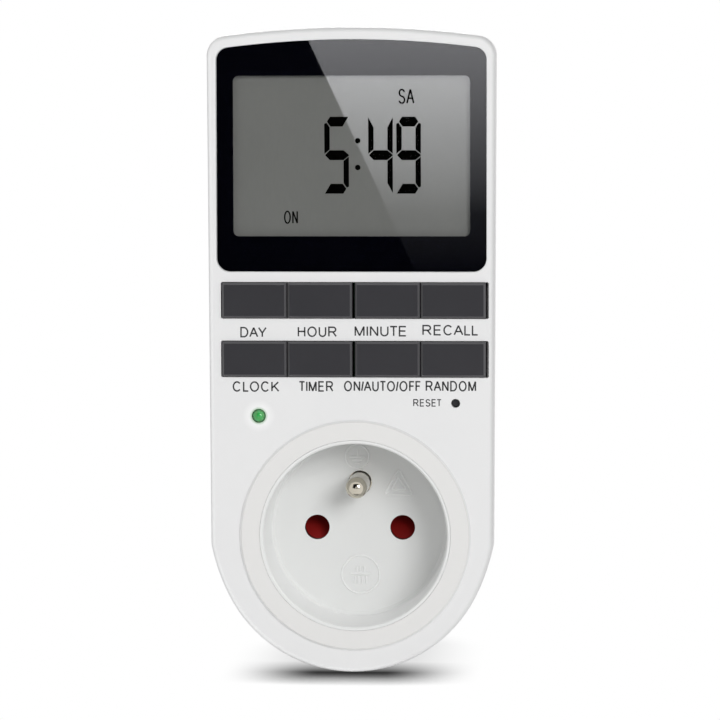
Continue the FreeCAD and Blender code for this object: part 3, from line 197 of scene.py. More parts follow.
def caseTone(finish, where, tone, look):
    # painted shade darkens the hole's wall, the raised collar is a shade warmer, bevels that lean towards
    # the key light get painted shade, and painted light from the lamp tints and brightens what lies next to
    # it
    x, y, z = finish.millimetres(where)
    # painted shade: the wall of the hole that holds the socket insert is darkened, as in the gap's shade
    tone = finish.mixed(within(finish, x, z, *look["bore"]), tone, look["boreShadeTone"])
    tone = finish.mixed(finish.limits(y, *look["collar"], 1, 0), tone, look["collarTone"])
    normal = finish.normal()
    # painted shade: bevels that lean towards the key light are darkened in the colour
    lean = finish.node("VectorMath", {"operation": "DOT_PRODUCT"}, {0: normal, 1: look["lean"]}, output=1)
    bevelShade = finish.limits(lean, *look["leanSpan"], *look["leanSpan"]) * finish.size(finish.parts(normal)[1])
    bevelShade = bevelShade * (1 - within(finish, x, z, *look["around"]) * look["aroundLess"])
    tone = tone * (1 - bevelShade * look["leanShadeShare"])
    # painted light: a pale halo and a green glow from the status lamp, painted onto the case around it
    across, up = fromLamp(x, z)
    tone = finish.mixed(within(finish, across, up, *look["paintedHalo"]), tone, look["paintedHaloTone"])
    return finish.mixed(within(finish, across, up, *look["glow"]), tone, look["paintedGlowTone"])


# a fine and a broad noise as (detail, roughness), and the span of each that is made use of
plasticNoise = {"fine": (3.0, 0.6), "broad": (2.0, 0.5), "glossSpan": (0.25, 0.75), "toneSpan": (0.3, 0.7)}
metalNoise = {"fine": (3.0, 0.6), "broad": (2.0, 0.5), "glossSpan": (0.2, 0.8), "toneSpan": (0.35, 0.7)}


def moulded(name, look):
    # moulded plastic: a spark-eroded grain, flow shading in the colour and a little uneven gloss
    finish = newFinish(name)
    where = finish.place()
    grain = finish.noise(where, look["grain"], *plasticNoise["fine"])
    flow = finish.noise(where, look["flow"], *plasticNoise["broad"])
    tone = finish.mixed(finish.limits(flow, *plasticNoise["toneSpan"], 0, 1), look["colour"], look["shade"])
    if "edge" in look:
        # painted light: bevels and flanks are a little lighter than what faces forwards
        ahead = finish.size(finish.parts(finish.normal())[1])
        tone = finish.mixed(finish.limits(ahead, *look["edgeTurn"], 1, 0), tone, look["edge"])
    if "collar" in look:
        tone = caseTone(finish, where, tone, look)
    # painted light: the socket's front lip is lighter than the recessed floor of the same white
    if "lip" in look:
        rim = finish.limits(finish.parts(where)[1], *look["lip"], 1, 0)
        tone = finish.mixed(rim, tone, look["lipTone"])
    # painted shade: the pole holes' white walls are coloured dark red
    if "wells" in look:
        tone = finish.mixed(inShadedWells(finish, where, look["wells"]), tone, look["wells"]["colour"])
    inputs = {
        "Base Color": tone, "Roughness": finish.gloss(grain, plasticNoise["glossSpan"], look),
        "Normal": finish.bump(grain, look["depth"] * mm), "IOR": look.get("ior", 1.5),
    }
    return finish.show(finish.node("BsdfPrincipled", None, inputs))


def metalled(name, look):
    # drawn, rolled or turned metal: streaks along one direction and fine scratches
    finish = newFinish(name)
    where = finish.place()
    streaks = finish.noise(where * look["streak"], 1.0, *metalNoise["fine"])
    cloud = finish.noise(where, look["cloud"], *metalNoise["broad"])
    tone = finish.mixed(finish.limits(cloud, *metalNoise["toneSpan"], 0, 1), look["colour"], look["shade"])
    inputs = {
        "Base Color": tone, "Roughness": finish.gloss(streaks, metalNoise["glossSpan"], look),
        "Metallic": 1.0, "Normal": finish.bump(streaks, look["depth"] * mm),
    }
    return finish.show(finish.node("BsdfPrincipled", None, inputs))


# depths and the pairs where a blend starts and ends are in millimetres, but lip is in metres;
# edgeTurn and leanSpan are cosines
plastics = {
    "case_front": {
        "colour": (0.795, 0.795, 0.795), "shade": (0.78, 0.781, 0.783), "grain": 5200, "flow": 40,
        "rough": 0.46, "uneven": 0.05, "depth": 0.002, "ior": 1.4,
        # painted shade on the wall of the hole that holds the socket insert
        "bore": (20.93, 20.95), "boreShadeTone": (0.42, 0.42, 0.42),
        "collar": (-53.55, -53.45), "collarTone": (0.765, 0.76, 0.748),
        # painted shade on bevels that lean towards the key light
        "lean": (0.8, 0, 0.6), "leanSpan": (-0.4, 1), "leanShadeShare": 0.6,
        "around": (26.4, 26.5), "aroundLess": 0.55,
        # painted light from the status lamp: a pale halo and a green glow around it
        "paintedHalo": (2.2, 3.6), "paintedHaloTone": (0.87, 0.87, 0.87),
        "glow": (1.5, 2.0), "paintedGlowTone": (0.42, 0.6, 0.42),
    },
    "case_rear": {
        "colour": (0.785, 0.785, 0.78), "shade": (0.77, 0.77, 0.768), "grain": 5200, "flow": 40,
        "rough": 0.5, "uneven": 0.05, "depth": 0.003,
    },
    "socket_white": {
        "colour": (0.71, 0.716, 0.708), "shade": (0.7, 0.706, 0.698), "grain": 4200, "flow": 50,
        "rough": 0.45, "uneven": 0.04, "depth": 0.001, "ior": 1.3,
        # painted light: the recess walls are lighter than its floor
        "edge": (0.92, 0.925, 0.92), "edgeTurn": (0.15, 0.6),
        # painted light on the socket's front lip
        "lip": (-0.0534, -0.0533), "lipTone": (0.8, 0.805, 0.797),
        # painted shade on the walls of the pole holes
        "wells": {
            "side": 9.5, "radius": (3.1, 3.15), "face": (-36.49, -36.45), "colour": (0.04, 0.003, 0.002),
        },
    },
    # painted light: a lighter copy of the socket's white for its raised marks, as lit ridge tops
    "relief_white_lit": {
        "colour": (0.78, 0.785, 0.78), "shade": (0.77, 0.775, 0.77), "grain": 4200, "flow": 50,
        "rough": 0.4, "uneven": 0.04, "depth": 0.001, "ior": 1.4,
    },
    "natural_plastic": {
        "colour": (0.7, 0.69, 0.64), "shade": (0.67, 0.655, 0.6), "grain": 3600, "flow": 90,
        "rough": 0.5, "uneven": 0.08, "depth": 0.003,
    },
    "key_grey": {
        "colour": (0.019, 0.0185, 0.023), "shade": (0.022, 0.0215, 0.026), "grain": 5200, "flow": 90,
        "rough": 0.44, "uneven": 0.07, "depth": 0.004, "ior": 1.42,
        # painted highlight on the key caps' bevels and flanks
        "edge": (0.08, 0.079, 0.084), "edgeTurn": (0.8, 0.97),
    },
    "switch_black": {
        "colour": (0.02, 0.02, 0.021), "shade": (0.026, 0.026, 0.027), "grain": 4200, "flow": 150,
        "rough": 0.42, "uneven": 0.06, "depth": 0.003,
    },
    "strip_rubber": {
        "colour": (0.25, 0.12, 0.12), "shade": (0.2, 0.09, 0.09), "grain": 2500, "flow": 400,
        "rough": 0.7, "uneven": 0.06, "depth": 0.004,
    },
    "shutter_red": {
        "colour": (0.29, 0.0072, 0.006), "shade": (0.25, 0.006, 0.005), "grain": 4200, "flow": 200,
        "rough": 0.4, "uneven": 0.06, "depth": 0.002,
    },
    "relay_blue": {
        "colour": (0.02, 0.1, 0.32), "shade": (0.018, 0.085, 0.28), "grain": 3600, "flow": 120,
        "rough": 0.4, "uneven": 0.06, "depth": 0.003,
    },
    "capacitor_yellow": {
        "colour": (0.72, 0.5, 0.08), "shade": (0.66, 0.44, 0.06), "grain": 3600, "flow": 120,
        "rough": 0.36, "uneven": 0.06, "depth": 0.003,
    },
    "capacitor_black": {
        "colour": (0.016, 0.016, 0.018), "shade": (0.022, 0.022, 0.024), "grain": 3000, "flow": 160,
        "rough": 0.32, "uneven": 0.05, "depth": 0.002,
    },
    "chip_black": {
        "colour": (0.022, 0.022, 0.023), "shade": (0.032, 0.032, 0.034), "grain": 6000, "flow": 300,
        "rough": 0.58, "uneven": 0.08, "depth": 0.006,
    },
    "varistor_blue": {
        "colour": (0.03, 0.13, 0.42), "shade": (0.025, 0.1, 0.36), "grain": 1800, "flow": 300,
        "rough": 0.34, "uneven": 0.08, "depth": 0.01,
    },
    "board_green": {
        "colour": (0.02, 0.16, 0.06), "shade": (0.028, 0.2, 0.075), "grain": 1500, "flow": 320,
        "rough": 0.33, "uneven": 0.08, "depth": 0.004,
    },
    "mask": {
        "colour": (0.001, 0.0011, 0.0026), "shade": (0.0014, 0.0014, 0.003), "grain": 900, "flow": 60,
        "rough": 0.01, "uneven": 0.005, "depth": 0.00001, "ior": 1.58,
    },
    "print_grey": {
        "colour": (0.014, 0.014, 0.016), "shade": (0.022, 0.022, 0.024), "grain": 6500, "flow": 1800,
        "rough": 0.5, "uneven": 0.08, "depth": 0.002,
    },
    "segment_black": {
        "colour": (0.0006, 0.0006, 0.0005), "shade": (0.0009, 0.0009, 0.0008), "grain": 5200, "flow": 400,
        "rough": 0.35, "uneven": 0.05, "depth": 0.0005, "ior": 1.03,
    },
}

metals = {
    "nickel": {
        "colour": (0.6, 0.56, 0.475), "shade": (0.54, 0.5, 0.42), "streak": (900, 5200, 900),
        "cloud": 220, "rough": 0.13, "uneven": 0.04, "depth": 0.0008,
    },
    "spring_steel": {
        "colour": (0.58, 0.58, 0.57), "shade": (0.5, 0.5, 0.49), "streak": (2600, 260, 2600),
        "cloud": 160, "rough": 0.28, "uneven": 0.07, "depth": 0.0015,
    },
    "contact_brass": {
        "colour": (0.82, 0.62, 0.3), "shade": (0.74, 0.52, 0.24), "streak": (260, 260, 3200),
        "cloud": 180, "rough": 0.27, "uneven": 0.07, "depth": 0.0015,
    },
    "screw_steel": {
        "colour": (0.62, 0.61, 0.58), "shade": (0.5, 0.5, 0.48), "streak": (1800, 1800, 1800),
        "cloud": 240, "rough": 0.34, "uneven": 0.1, "depth": 0.002,
    },
}

lensLook = {
    "tint": (0.985, 0.99, 0.985), "streak": (900, 900, 90), "span": (0.3, 0.7),
    "rough": 0.006, "uneven": 0.006, "ior": 1.05,
}


def makeLens(name, look):
    # clear acrylic: its outer face mirrors a little, and lamps shine through it
    finish = newFinish(name)
    hairlines = finish.noise(finish.place() * look["streak"], 1.0)
    gloss = finish.limits(hairlines, *look["span"], look["rough"], look["rough"] + look["uneven"])
    tilt = finish.node("Fresnel", None, {"IOR": look["ior"]})
    inside = finish.node("NewGeometry", output="Backfacing")
    clear = finish.node("BsdfTransparent", None, {"Color": look["tint"]})
    mirror = finish.node("BsdfGlossy", None, {"Color": (1, 1, 1), "Roughness": gloss})
    return finish.show(finish.node("MixShader", None, {0: tilt * (1 - inside), 1: clear, 2: mirror}))


displayLook = {
    "colour": (0.178, 0.178, 0.173), "shade": (0.168, 0.168, 0.163),
    "streak": (2600, 2600, 500), "fine": (2.0, 0.6), "cloud": 45, "broad": (1.0, 0.4),
    "toneSpan": (0.7, 1.3), "glossSpan": (0.3, 0.7), "rough": 0.014, "uneven": 0.006, "ior": 2.0,
}


def makeDisplay(name, look):
    # liquid crystal cell over its reflector: a faint brushed grain under a hard polarising film
    finish = newFinish(name)
    where = finish.place()
    grain = finish.noise(where * look["streak"], 1.0, *look["fine"])
    cloud = finish.noise(where, look["cloud"], *look["broad"])
    tone = finish.mixed(finish.limits(grain + cloud, *look["toneSpan"], 0, 1), look["colour"], look["shade"])
    gloss = finish.gloss(grain, look["glossSpan"], look)
    inputs = {"Base Color": tone, "Roughness": gloss, "IOR": look["ior"]}
    return finish.show(finish.node("BsdfPrincipled", None, inputs))


lampLook = {
    "colour": (0.05, 0.43, 0.1), "dark": (0.04, 0.37, 0.075), "rim": (0.1, 0.24, 0.11),
    "cloud": 900, "cloudNoise": (1.0, 0.4), "cloudSpan": (0.42, 0.58),
    "speckle": 1500, "speckleShare": 0.4, "rimSpan": (0.25, 0.95),
    "span": (0.3, 0.7), "rough": (0.1, 0.2), "ior": 1.53, "coat": 0.25, "coatRough": 0.06,
    "milky": 0.3, "depth": 0.5,
}


def makeLamp(name, look):
    # tinted epoxy dome: deeper at its rim, where more of the tint is looked through
    finish = newFinish(name)
    where = finish.place()
    speckle = finish.noise(where, look["speckle"])
    place = finish.millimetres(where)
    across, up = fromLamp(place[0], place[2])
    rim = 1 - (1 - (across * across + up * up) * (1 / lampRadius ** 2)) ** 0.5
    cloud = finish.noise(where, look["cloud"], *look["cloudNoise"])
    core = finish.mixed(finish.limits(cloud, *look["cloudSpan"], 0, 1), look["colour"], look["dark"])
    rim = finish.limits(rim + speckle * look["speckleShare"], *look["rimSpan"], 0, 1)
    inputs = {
        "Base Color": finish.mixed(rim, core, look["rim"]),
        "Roughness": finish.limits(speckle, *look["span"], *look["rough"]), "IOR": look["ior"],
        "Coat Weight": look["coat"], "Coat Roughness": look["coatRough"],
        "Subsurface Weight": look["milky"], "Subsurface Scale": look["depth"] * mm,
    }
    return finish.show(finish.node("BsdfPrincipled", None, inputs))


fuseLook = {
    "clear": (0.82, 0.86, 0.86), "smeared": (0.72, 0.78, 0.79), "smear": 700,
    "span": (0.3, 0.7), "rough": (0.04, 0.12), "ior": 1.5, "through": 0.6,
}


def makeFuseGlass(name, look):
    # a glass tube with a faint smear over it
    finish = newFinish(name)
    smear = finish.noise(finish.place(), look["smear"])
    inputs = {
        "Base Color": finish.mixed(smear, look["clear"], look["smeared"]),
        "Roughness": finish.limits(smear, *look["span"], *look["rough"]),
        "Transmission Weight": look["through"], "IOR": look["ior"],
    }
    return finish.show(finish.node("BsdfPrincipled", None, inputs))


finishes = {}
for name, look in plastics.items():
    finishes[name] = moulded(name, look)
for name, look in metals.items():
    finishes[name] = metalled(name, look)
finishes["lens"] = makeLens("lens", lensLook)
finishes["lcd"] = makeDisplay("lcd", displayLook)
finishes["led_green"] = makeLamp("led_green", lampLook)
finishes["fuse_glass"] = makeFuseGlass("fuse_glass", fuseLook)

for piece in nodes.values():
    for index, held in enumerate(piece.data.materials):
        piece.data.materials[index] = finishes[held.name.split(".")[0]]
print("finishes:", len(finishes))


def newPiece(name, mesh, smoothBelow=0.0):
    # smooth shading, with a hard edge wherever two faces meet at more than smoothBelow degrees
    bmesh.ops.recalc_face_normals(mesh, faces=mesh.faces)
    for edge in mesh.edges:
        edge.smooth = edge.calc_face_angle(math.pi) < math.radians(smoothBelow)
    for face in mesh.faces:
        face.smooth = smoothBelow > 0
    data = bpy.data.meshes.new(name)
    mesh.to_mesh(data)
    mesh.free()
    piece = bpy.data.objects.new(name, data)
    scene.collection.objects.link(piece)
    return piece


def dress(piece, finishName):
    piece.data.materials.clear()
    piece.data.materials.append(finishes[finishName])
    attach(piece, "timer")


def plate(name, outlines, back, front):
    # flat shapes given as (x, z) in millimetres, all as one thin mesh from back to front
    mesh = bmesh.new()
    for outline in outlines:
        rear = [mesh.verts.new(spot(x, back, z)) for x, z in outline]
        face = [mesh.verts.new(spot(x, front, z)) for x, z in outline]
        mesh.faces.new(rear)
        mesh.faces.new(face)
        for index in range(len(outline)):
            after = (index + 1) % len(outline)
            mesh.faces.new((rear[index], rear[after], face[after], face[index]))
    return newPiece(name, mesh)


def bend(x, z, wide, tall, start, end, steps):
    # part of an ellipse, from start to end in degrees
    turns = [math.radians(start + (end - start) * step / steps) for step in range(steps + 1)]
    return [(x + wide * math.cos(turn), z + tall * math.sin(turn)) for turn in turns]


def roundOutline(x, z, radius, count):
    return bend(x, z, radius, radius, 0, 360, count)[:-1]


def lathe(mesh, profile, x, z, steps):
    # a turned form about an axis that runs from back to front: profile holds (radius, forward)
    rings = []
    for radius, forward in profile:
        outline = roundOutline(x, z, radius, steps) if radius else [(x, z)]
        rings.append([mesh.verts.new(spot(across, forward, up)) for across, up in outline])
    for ring, following in zip(rings, rings[1:]):
        for step in range(steps):
            after = (step + 1) % steps
            corners = [ring[step % len(ring)], ring[after % len(ring)]]
            corners += [following[after % len(following)], following[step % len(following)]]
            mesh.faces.new(list(dict.fromkeys(corners)))


def domeEnd(radius, base, tip, steps):
    # the points of a rounded end, from a shank's rim at base to the pole at tip
    turns = [math.pi / 2 * step / steps for step in range(steps)]
    return [(radius * math.cos(turn), base + (tip - base) * math.sin(turn)) for turn in turns] + [(0, tip)]


def addRidge(mesh, points, closed, level, line, section):
    # a line drawn along (x, z) points; section holds the corners of its cross-section, each
    # as (share of line, rise above level)
    count = len(points)
    rows = []
    for index, (x, z) in enumerate(points):
        here = Vector((x, z))
        before = Vector(points[index - 1]) if closed or index else None
        after = Vector(points[(index + 1) % count]) if closed or index < count - 1 else None
        runs = [(here - before).normalized()] if before else []
        runs += [(after - here).normalized()] if after else []
        run = sum(runs, Vector((0, 0))).normalized()
        mitre = max(run.dot(runs[0]), leastMitre)
        side = Vector((-run.y, run.x)) * line / mitre
        corners = [spot(x + side.x * share, level + rise, z + side.y * share) for share, rise in section]
        rows.append([mesh.verts.new(corner) for corner in corners])
    for index in range(count if closed else count - 1):
        row, following = rows[index], rows[(index + 1) % count]
        for step in range(len(section)):
            after = (step + 1) % len(section)
            mesh.faces.new((row[step], row[after], following[after], following[step]))
    if not closed:
        mesh.faces.new(rows[0])
        mesh.faces.new(rows[-1])


def ridges(name, paths, level, line, section, smoothBelow):
    # each path is (points, closed)
    mesh = bmesh.new()
    for points, closed in paths:
        addRidge(mesh, points, closed, level, line, section)
    return newPiece(name, mesh, smoothBelow)


# plain capitals: each has its width beside a height of 0.716 and its strokes in a box of 1 by 1
capitals = {
    "A": (0.667, [[(0, 0), (0.5, 1)], [(0.5, 1), (1, 0)], [(0.2, 0.36), (0.8, 0.36)]]),
    "C": (0.63, [bend(0.52, 0.5, 0.52, 0.5, 40, 320, 20)]),
    "D": (0.6, [
        [(0.42, 0), (0, 0), (0, 1), (0.42, 1)] + bend(0.42, 0.5, 0.58, 0.5, 80, -80, 12) + [(0.42, 0)],
    ]),
    "E": (0.53, [[(1, 1), (0, 1), (0, 0), (1, 0)], [(0, 0.52), (0.93, 0.52)]]),
    "F": (0.48, [[(1, 1), (0, 1), (0, 0)], [(0, 0.52), (0.88, 0.52)]]),
    "H": (0.565, [[(0, 0), (0, 1)], [(1, 0), (1, 1)], [(0, 0.53), (1, 0.53)]]),
    "I": (0.095, [[(0.5, 0), (0.5, 1)]]),
    "K": (0.6, [[(0, 0), (0, 1)], [(0.95, 1), (0, 0.33)], [(0.33, 0.56), (1, 0)]]),
    "L": (0.45, [[(0, 1), (0, 0), (1, 0)]]),
    "M": (0.68, [[(0, 0), (0, 1)], [(0, 1), (0.5, 0)], [(0.5, 0), (1, 1)], [(1, 1), (1, 0)]]),
    "N": (0.57, [[(0, 0), (0, 1)], [(0, 1), (1, 0)], [(1, 0), (1, 1)]]),
    "O": (0.69, [bend(0.5, 0.5, 0.5, 0.5, 0, 360, 28)]),
    "R": (0.63, [
        [(0, 0), (0, 1), (0.6, 1)] + bend(0.6, 0.745, 0.34, 0.255, 80, -80, 8) + [(0.6, 0.49), (0, 0.49)],
        [(0.55, 0.49), (1, 0)],
    ]),
    "S": (0.56, [bend(0.5, 0.75, 0.46, 0.25, 15, 250, 14) + bend(0.5, 0.25, 0.5, 0.25, 68, -165, 14)]),
    "T": (0.57, [[(0, 1), (1, 1)], [(0.5, 1), (0.5, 0)]]),
    "U": (0.56, [[(0, 1), (0, 0.34)] + bend(0.5, 0.34, 0.5, 0.34, 190, 350, 12) + [(1, 0.34), (1, 1)]]),
    "Y": (0.65, [[(0, 1), (0.5, 0.42)], [(0.5, 0.42), (1, 1)], [(0.5, 0.42), (0.5, 0)]]),
    "/": (0.25, [[(0, 0), (1, 1)]]),
}
openLetters = {"left": "ATY/", "right": "AFLTY/", "shares": (1.0, 0.45, -0.2)}


def spaces(text, space):
    # letters with open sides stand closer to their neighbours
    gaps = []
    for letter, following in zip(text, text[1:]):
        openSides = (letter in openLetters["right"]) + (following in openLetters["left"])
        gaps.append(space * openLetters["shares"][openSides])
    return gaps + [0]


def lettering(name, words, look):
    # every word is set in its own box of (left, right, low, high), and its strokes are as
    # thick as their share of its height
    mesh = bmesh.new()
    section = ((-1, look["back"]), (-1, look["front"]), (1, look["front"]), (1, look["back"]))
    for text, left, right, low, high in words:
        half = look["weight"] * (high - low) / 2
        tall = high - low - 2 * half
        widths = [capitals[letter][0] for letter in text]
        gaps = spaces(text, look["space"])
        scale = (right - left) / (sum(widths) + sum(gaps))
        start = left
        for letter, wide, gap in zip(text, widths, gaps):
            across = max(wide * scale - 2 * half, 0)
            for stroke in capitals[letter][1]:
                points = [(start + half + x * across, low + half + z * tall) for x, z in stroke]
                addRidge(mesh, points, False, 0, half, section)
            start += (wide + gap) * scale
    return newPiece(name, mesh)


display = {
    "back": 50.5, "front": 50.53, "low": 74.56, "tall": 16.7, "wide": 5.62, "bar": 2.12, "post": 1.2,
    # how far in from the digit's side a bar's tip, outer corner and inner corner lie, and a
    # post's outer flank at its top and middle; postMore widens the posts
    "tip": 0.7, "cut": 1.38, "inner": 1.5, "outerTop": 0.12, "outerMiddle": 0.15, "postMore": 0.1,
    # the gap between strokes, with its shares beside and at the ends of a post
    "gap": 0.18, "gapAside": 0.5, "gapTop": 1.4, "gapMiddle": 1.7,
    # how far down the outer end of a post starts, plain and pointed
    "shoulder": 0.15, "spike": 0.1,
    # where the flag and the middle bar end, and how much longer the middle bar's flats are
    "flagEnd": 0.25, "middleStart": 0.3, "middleEnd": 0.05, "middleMore": 0.2,
    "digits": ((-6.82, "5"), (2.75, "4"), (8.87, "9")),
    "dots": ((0.6, 86.05), (0.59, 80.24)), "dotRadius": 0.6, "dotSteps": 24,
    "words": (("SA", 9.45, 12.98, 94.0, 97.35), ("ON", -15.55, -12.5, 67.95, 70.85)),
    "weight": 0.108, "space": 0.13,
}
# the strokes of each digit, as (outline, mirrored across, mirrored up)
digitStrokes = {
    "5": (("flag", 0, 0), ("post", 0, 0), ("middle", 0, 0), ("post", 1, 1), ("flag", 1, 1)),
    "4": (("pointed", 0, 0), ("pointed", 1, 0), ("middle", 0, 0), ("pointed", 1, 1)),
    "9": (("top", 0, 0), ("post", 0, 0), ("post", 1, 0), ("middle", 0, 0), ("post", 1, 1), ("flag", 1, 1)),
}


def segments(shape):
    # outlines of one seven-segment digit, x to the right and z up from its lower left corner
    wide, tall, bar, gap = shape["wide"], shape["tall"], shape["bar"], shape["gap"]
    tip, cut, inner = shape["tip"], shape["cut"], shape["inner"]
    half = bar / 2
    middle = tall / 2
    post = shape["post"] + shape["postMore"]
    innerFlank = [(post, tall - bar - gap), (post, middle + half + gap)]
    innerFlank.append((shape["outerMiddle"], middle + gap * shape["gapMiddle"]))
    shoulder = (shape["outerTop"], tall - cut - shape["shoulder"])
    corner = (tip - gap * shape["gapAside"], tall - half - gap * shape["gapTop"])
    barStart = [(tip, tall - half), (cut, tall)]
    barUnder = [(wide - inner, tall - bar), (inner, tall - bar)]
    nearer = inner - shape["middleMore"]
    return {
        "post": [shoulder, corner] + innerFlank,
        "pointed": [(shape["outerTop"], tall - shape["spike"])] + innerFlank,
        "top": barStart + [(wide - cut, tall), (wide - tip, tall - half)] + barUnder,
        "flag": barStart + [(wide - shape["flagEnd"], tall)] + barUnder,
        "middle": [
            (shape["middleStart"], middle), (nearer, middle + half), (wide - nearer, middle + half),
            (wide - shape["middleEnd"], middle), (wide - nearer, middle - half), (nearer, middle - half),
        ],
    }


def digitOutlines(digit, left, shape):
    outlines = segments(shape)
    wide, tall, low = shape["wide"], shape["tall"], shape["low"]
    drawn = []
    for kind, across, upwards in digitStrokes[digit]:
        points = [(wide - x if across else x, tall - z if upwards else z) for x, z in outlines[kind]]
        drawn.append([(left + x, low + z) for x, z in points])
    return drawn


def addDisplay(shape):
    shapes = []
    for left, digit in shape["digits"]:
        shapes += digitOutlines(digit, left, shape)
    for x, z in shape["dots"]:
        shapes.append(roundOutline(x, z, shape["dotRadius"], shape["dotSteps"]))
    dress(plate("displayTime", shapes, shape["back"], shape["front"]), "segment_black")
    dress(lettering("displayWords", shape["words"], shape), "segment_black")
    print("display drawn:", len(shapes), "shapes")


addDisplay(display)

legends = {
    "back": 52.99, "front": 53.015, "weight": 0.14, "space": 0.13,
    "words": (
        ("DAY", -24.99, -19.2, 43.28, 45.6), ("HOUR", -12.43, -3.88, 43.4, 45.72),
        ("MINUTE", -0.02, 11.33, 43.56, 45.88), ("RECALL", 14.75, 26.95, 43.8, 46.12),
        ("CLOCK", -26.71, -16.48, 31.4, 33.72), ("TIMER", -12.25, -4.66, 31.47, 33.79),
        ("ON/AUTO/OFF", -2.36, 14.47, 31.55, 33.87), ("RANDOM", 15.45, 26.45, 31.6, 33.92),
        ("RESET", 12.75, 18.93, 28.28, 29.93),
    ),
}
dress(lettering("caseLegends", legends["words"], legends), "print_grey")
print("legends set:", len(legends["words"]))

reliefs = {
    "line": 0.23, "section": ((-1, -0.05), (-0.55, 0.24), (0, 0.28), (0.55, 0.24), (1, -0.05)),
    "smoothBelow": 50,
    # the strokes in a ring run from one (across, up) to another, in shares of its radius
    "earth": {
        "x": -0.6, "z": 15.75, "radius": 2.6, "steps": 48,
        "strokes": (
            ((0, 0.66), (0, -0.02)), ((-0.66, -0.02), (0.66, -0.02)),
            ((-0.44, -0.3), (0.44, -0.3)), ((-0.22, -0.56), (0.22, -0.56)),
        ),
    },
    "mark": {
        "x": 0.1, "z": -10.5, "radius": 4.2, "steps": 64,
        "strokes": (
            ((-0.52, 0.02), (0.52, 0.02)),
            ((-0.3, -0.1), (-0.3, -0.5)), ((-0.1, -0.1), (-0.1, -0.5)),
            ((0.1, -0.1), (0.1, -0.5)), ((0.3, -0.1), (0.3, -0.5)),
            ((-0.2, 0.14), (-0.2, 0.42)), ((0, 0.14), (0, 0.42)), ((0.2, 0.14), (0.2, 0.42)),
        ),
    },
    "triangle": {
        "x": 8.6, "z": 10.2, "wide": 6.5, "tall": 5.9, "bend": 1.1, "bendSteps": 6,
        "innerWide": 0.5, "innerLow": 0.62, "innerTop": 0.34, "innerBend": 0.5, "innerBendSteps": 4,
    },
}


def bentCorners(corners, radius, steps):
    # a closed path with its corners rounded
    points = []
    for index, corner in enumerate(corners):
        here = Vector(corner)
        before = Vector(corners[index - 1])
        after = Vector(corners[(index + 1) % len(corners)])
        start = here + (before - here).normalized() * radius
        end = here + (after - here).normalized() * radius
        for step in range(steps + 1):
            share = step / steps
            near = start.lerp(here, share).lerp(here.lerp(end, share), share)
            points.append((near.x, near.y))
    return points


def ringedSign(shape):
    x, z, radius = shape["x"], shape["z"], shape["radius"]
    paths = [(roundOutline(x, z, radius, shape["steps"]), True)]
    for stroke in shape["strokes"]:
        paths.append(([(x + radius * across, z + radius * up) for across, up in stroke], False))
    return paths


def doubleTriangle(shape):
    x, z = shape["x"], shape["z"]
    wide, tall = shape["wide"] / 2, shape["tall"] / 2
    outer = [(x - wide, z - tall), (x + wide, z - tall), (x, z + tall)]
    half, low = wide * shape["innerWide"], z - tall * shape["innerLow"]
    inner = [(x - half, low), (x + half, low), (x, z + tall * shape["innerTop"])]
    return [
        (bentCorners(outer, shape["bend"], shape["bendSteps"]), True),
        (bentCorners(inner, shape["innerBend"], shape["innerBendSteps"]), True),
    ]


def addReliefs(shape):
    paths = ringedSign(shape["earth"]) + ringedSign(shape["mark"]) + doubleTriangle(shape["triangle"])
    line, section = shape["line"], shape["section"]
    raised = ridges("socketReliefs", paths, socketFloor, line, section, shape["smoothBelow"])
    # painted light: the raised marks are a lighter white than the floor around them
    dress(raised, "relief_white_lit")
    print("socket reliefs set:", len(paths), "lines")


addReliefs(reliefs)

pins = {
    "radius": 2.4, "tail": 2.0, "chamfer": 0.25, "edge": 0.02,
    "steps": 64, "domeSteps": 18, "smoothBelow": 30,
    # end and behind are where the tail and the collar begin, and the pin leaves its wall at face
    "each": {
        "earth_pin": {
            "name": "earthPin", "axis": (0, 10), "end": 20, "behind": 34, "face": socketFloor,
            "tip": 50.5, "collar": 2.6, "seam": 2.2,
        },
        "plug_pin_left": {
            "name": "plugPinLeft", "axis": (-9.5, 0), "end": 8, "behind": 3, "face": 0,
            "tip": -19, "collar": 3.0, "seam": 0.08,
        },
        "plug_pin_right": {
            "name": "plugPinRight", "axis": (9.5, 0), "end": 15.8, "behind": 3, "face": 0,
            "tip": -19, "collar": 3.0, "seam": 0.08,
        },
    },
}


def addPin(shape, node, own):
    radius, tail, chamfer = shape["radius"], shape["tail"], shape["chamfer"]
    end, behind, collar, tip = own["end"], own["behind"], own["collar"], own["tip"]
    away = 1 if tip > own["face"] else -1  # the way that the pin points
    level = own["face"] - away * own["seam"]
    profile = [(0, end), (tail - chamfer, end), (tail, end + away * chamfer), (tail, behind)]
    profile += [(collar, behind), (collar, level), (radius + shape["edge"], level), (radius, level)]
    profile += domeEnd(radius, tip - away * radius, tip, shape["domeSteps"])
    mesh = bmesh.new()
    lathe(mesh, profile, *own["axis"], shape["steps"])
    pin = newPiece(own["name"], mesh, shape["smoothBelow"])
    dress(pin, "nickel")
    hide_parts(node)


for node, own in pins["each"].items():
    addPin(pins, node, own)

lamp = {
    "flange": 1.8, "base": 48.4, "flangeTop": 49.4, "tip": 53.7, "dome": 1.3,
    "steps": 48, "domeSteps": 16, "smoothBelow": 30,
    "leadSide": 0.5, "leadPitch": 2.54, "leadEnd": 44.0,
}


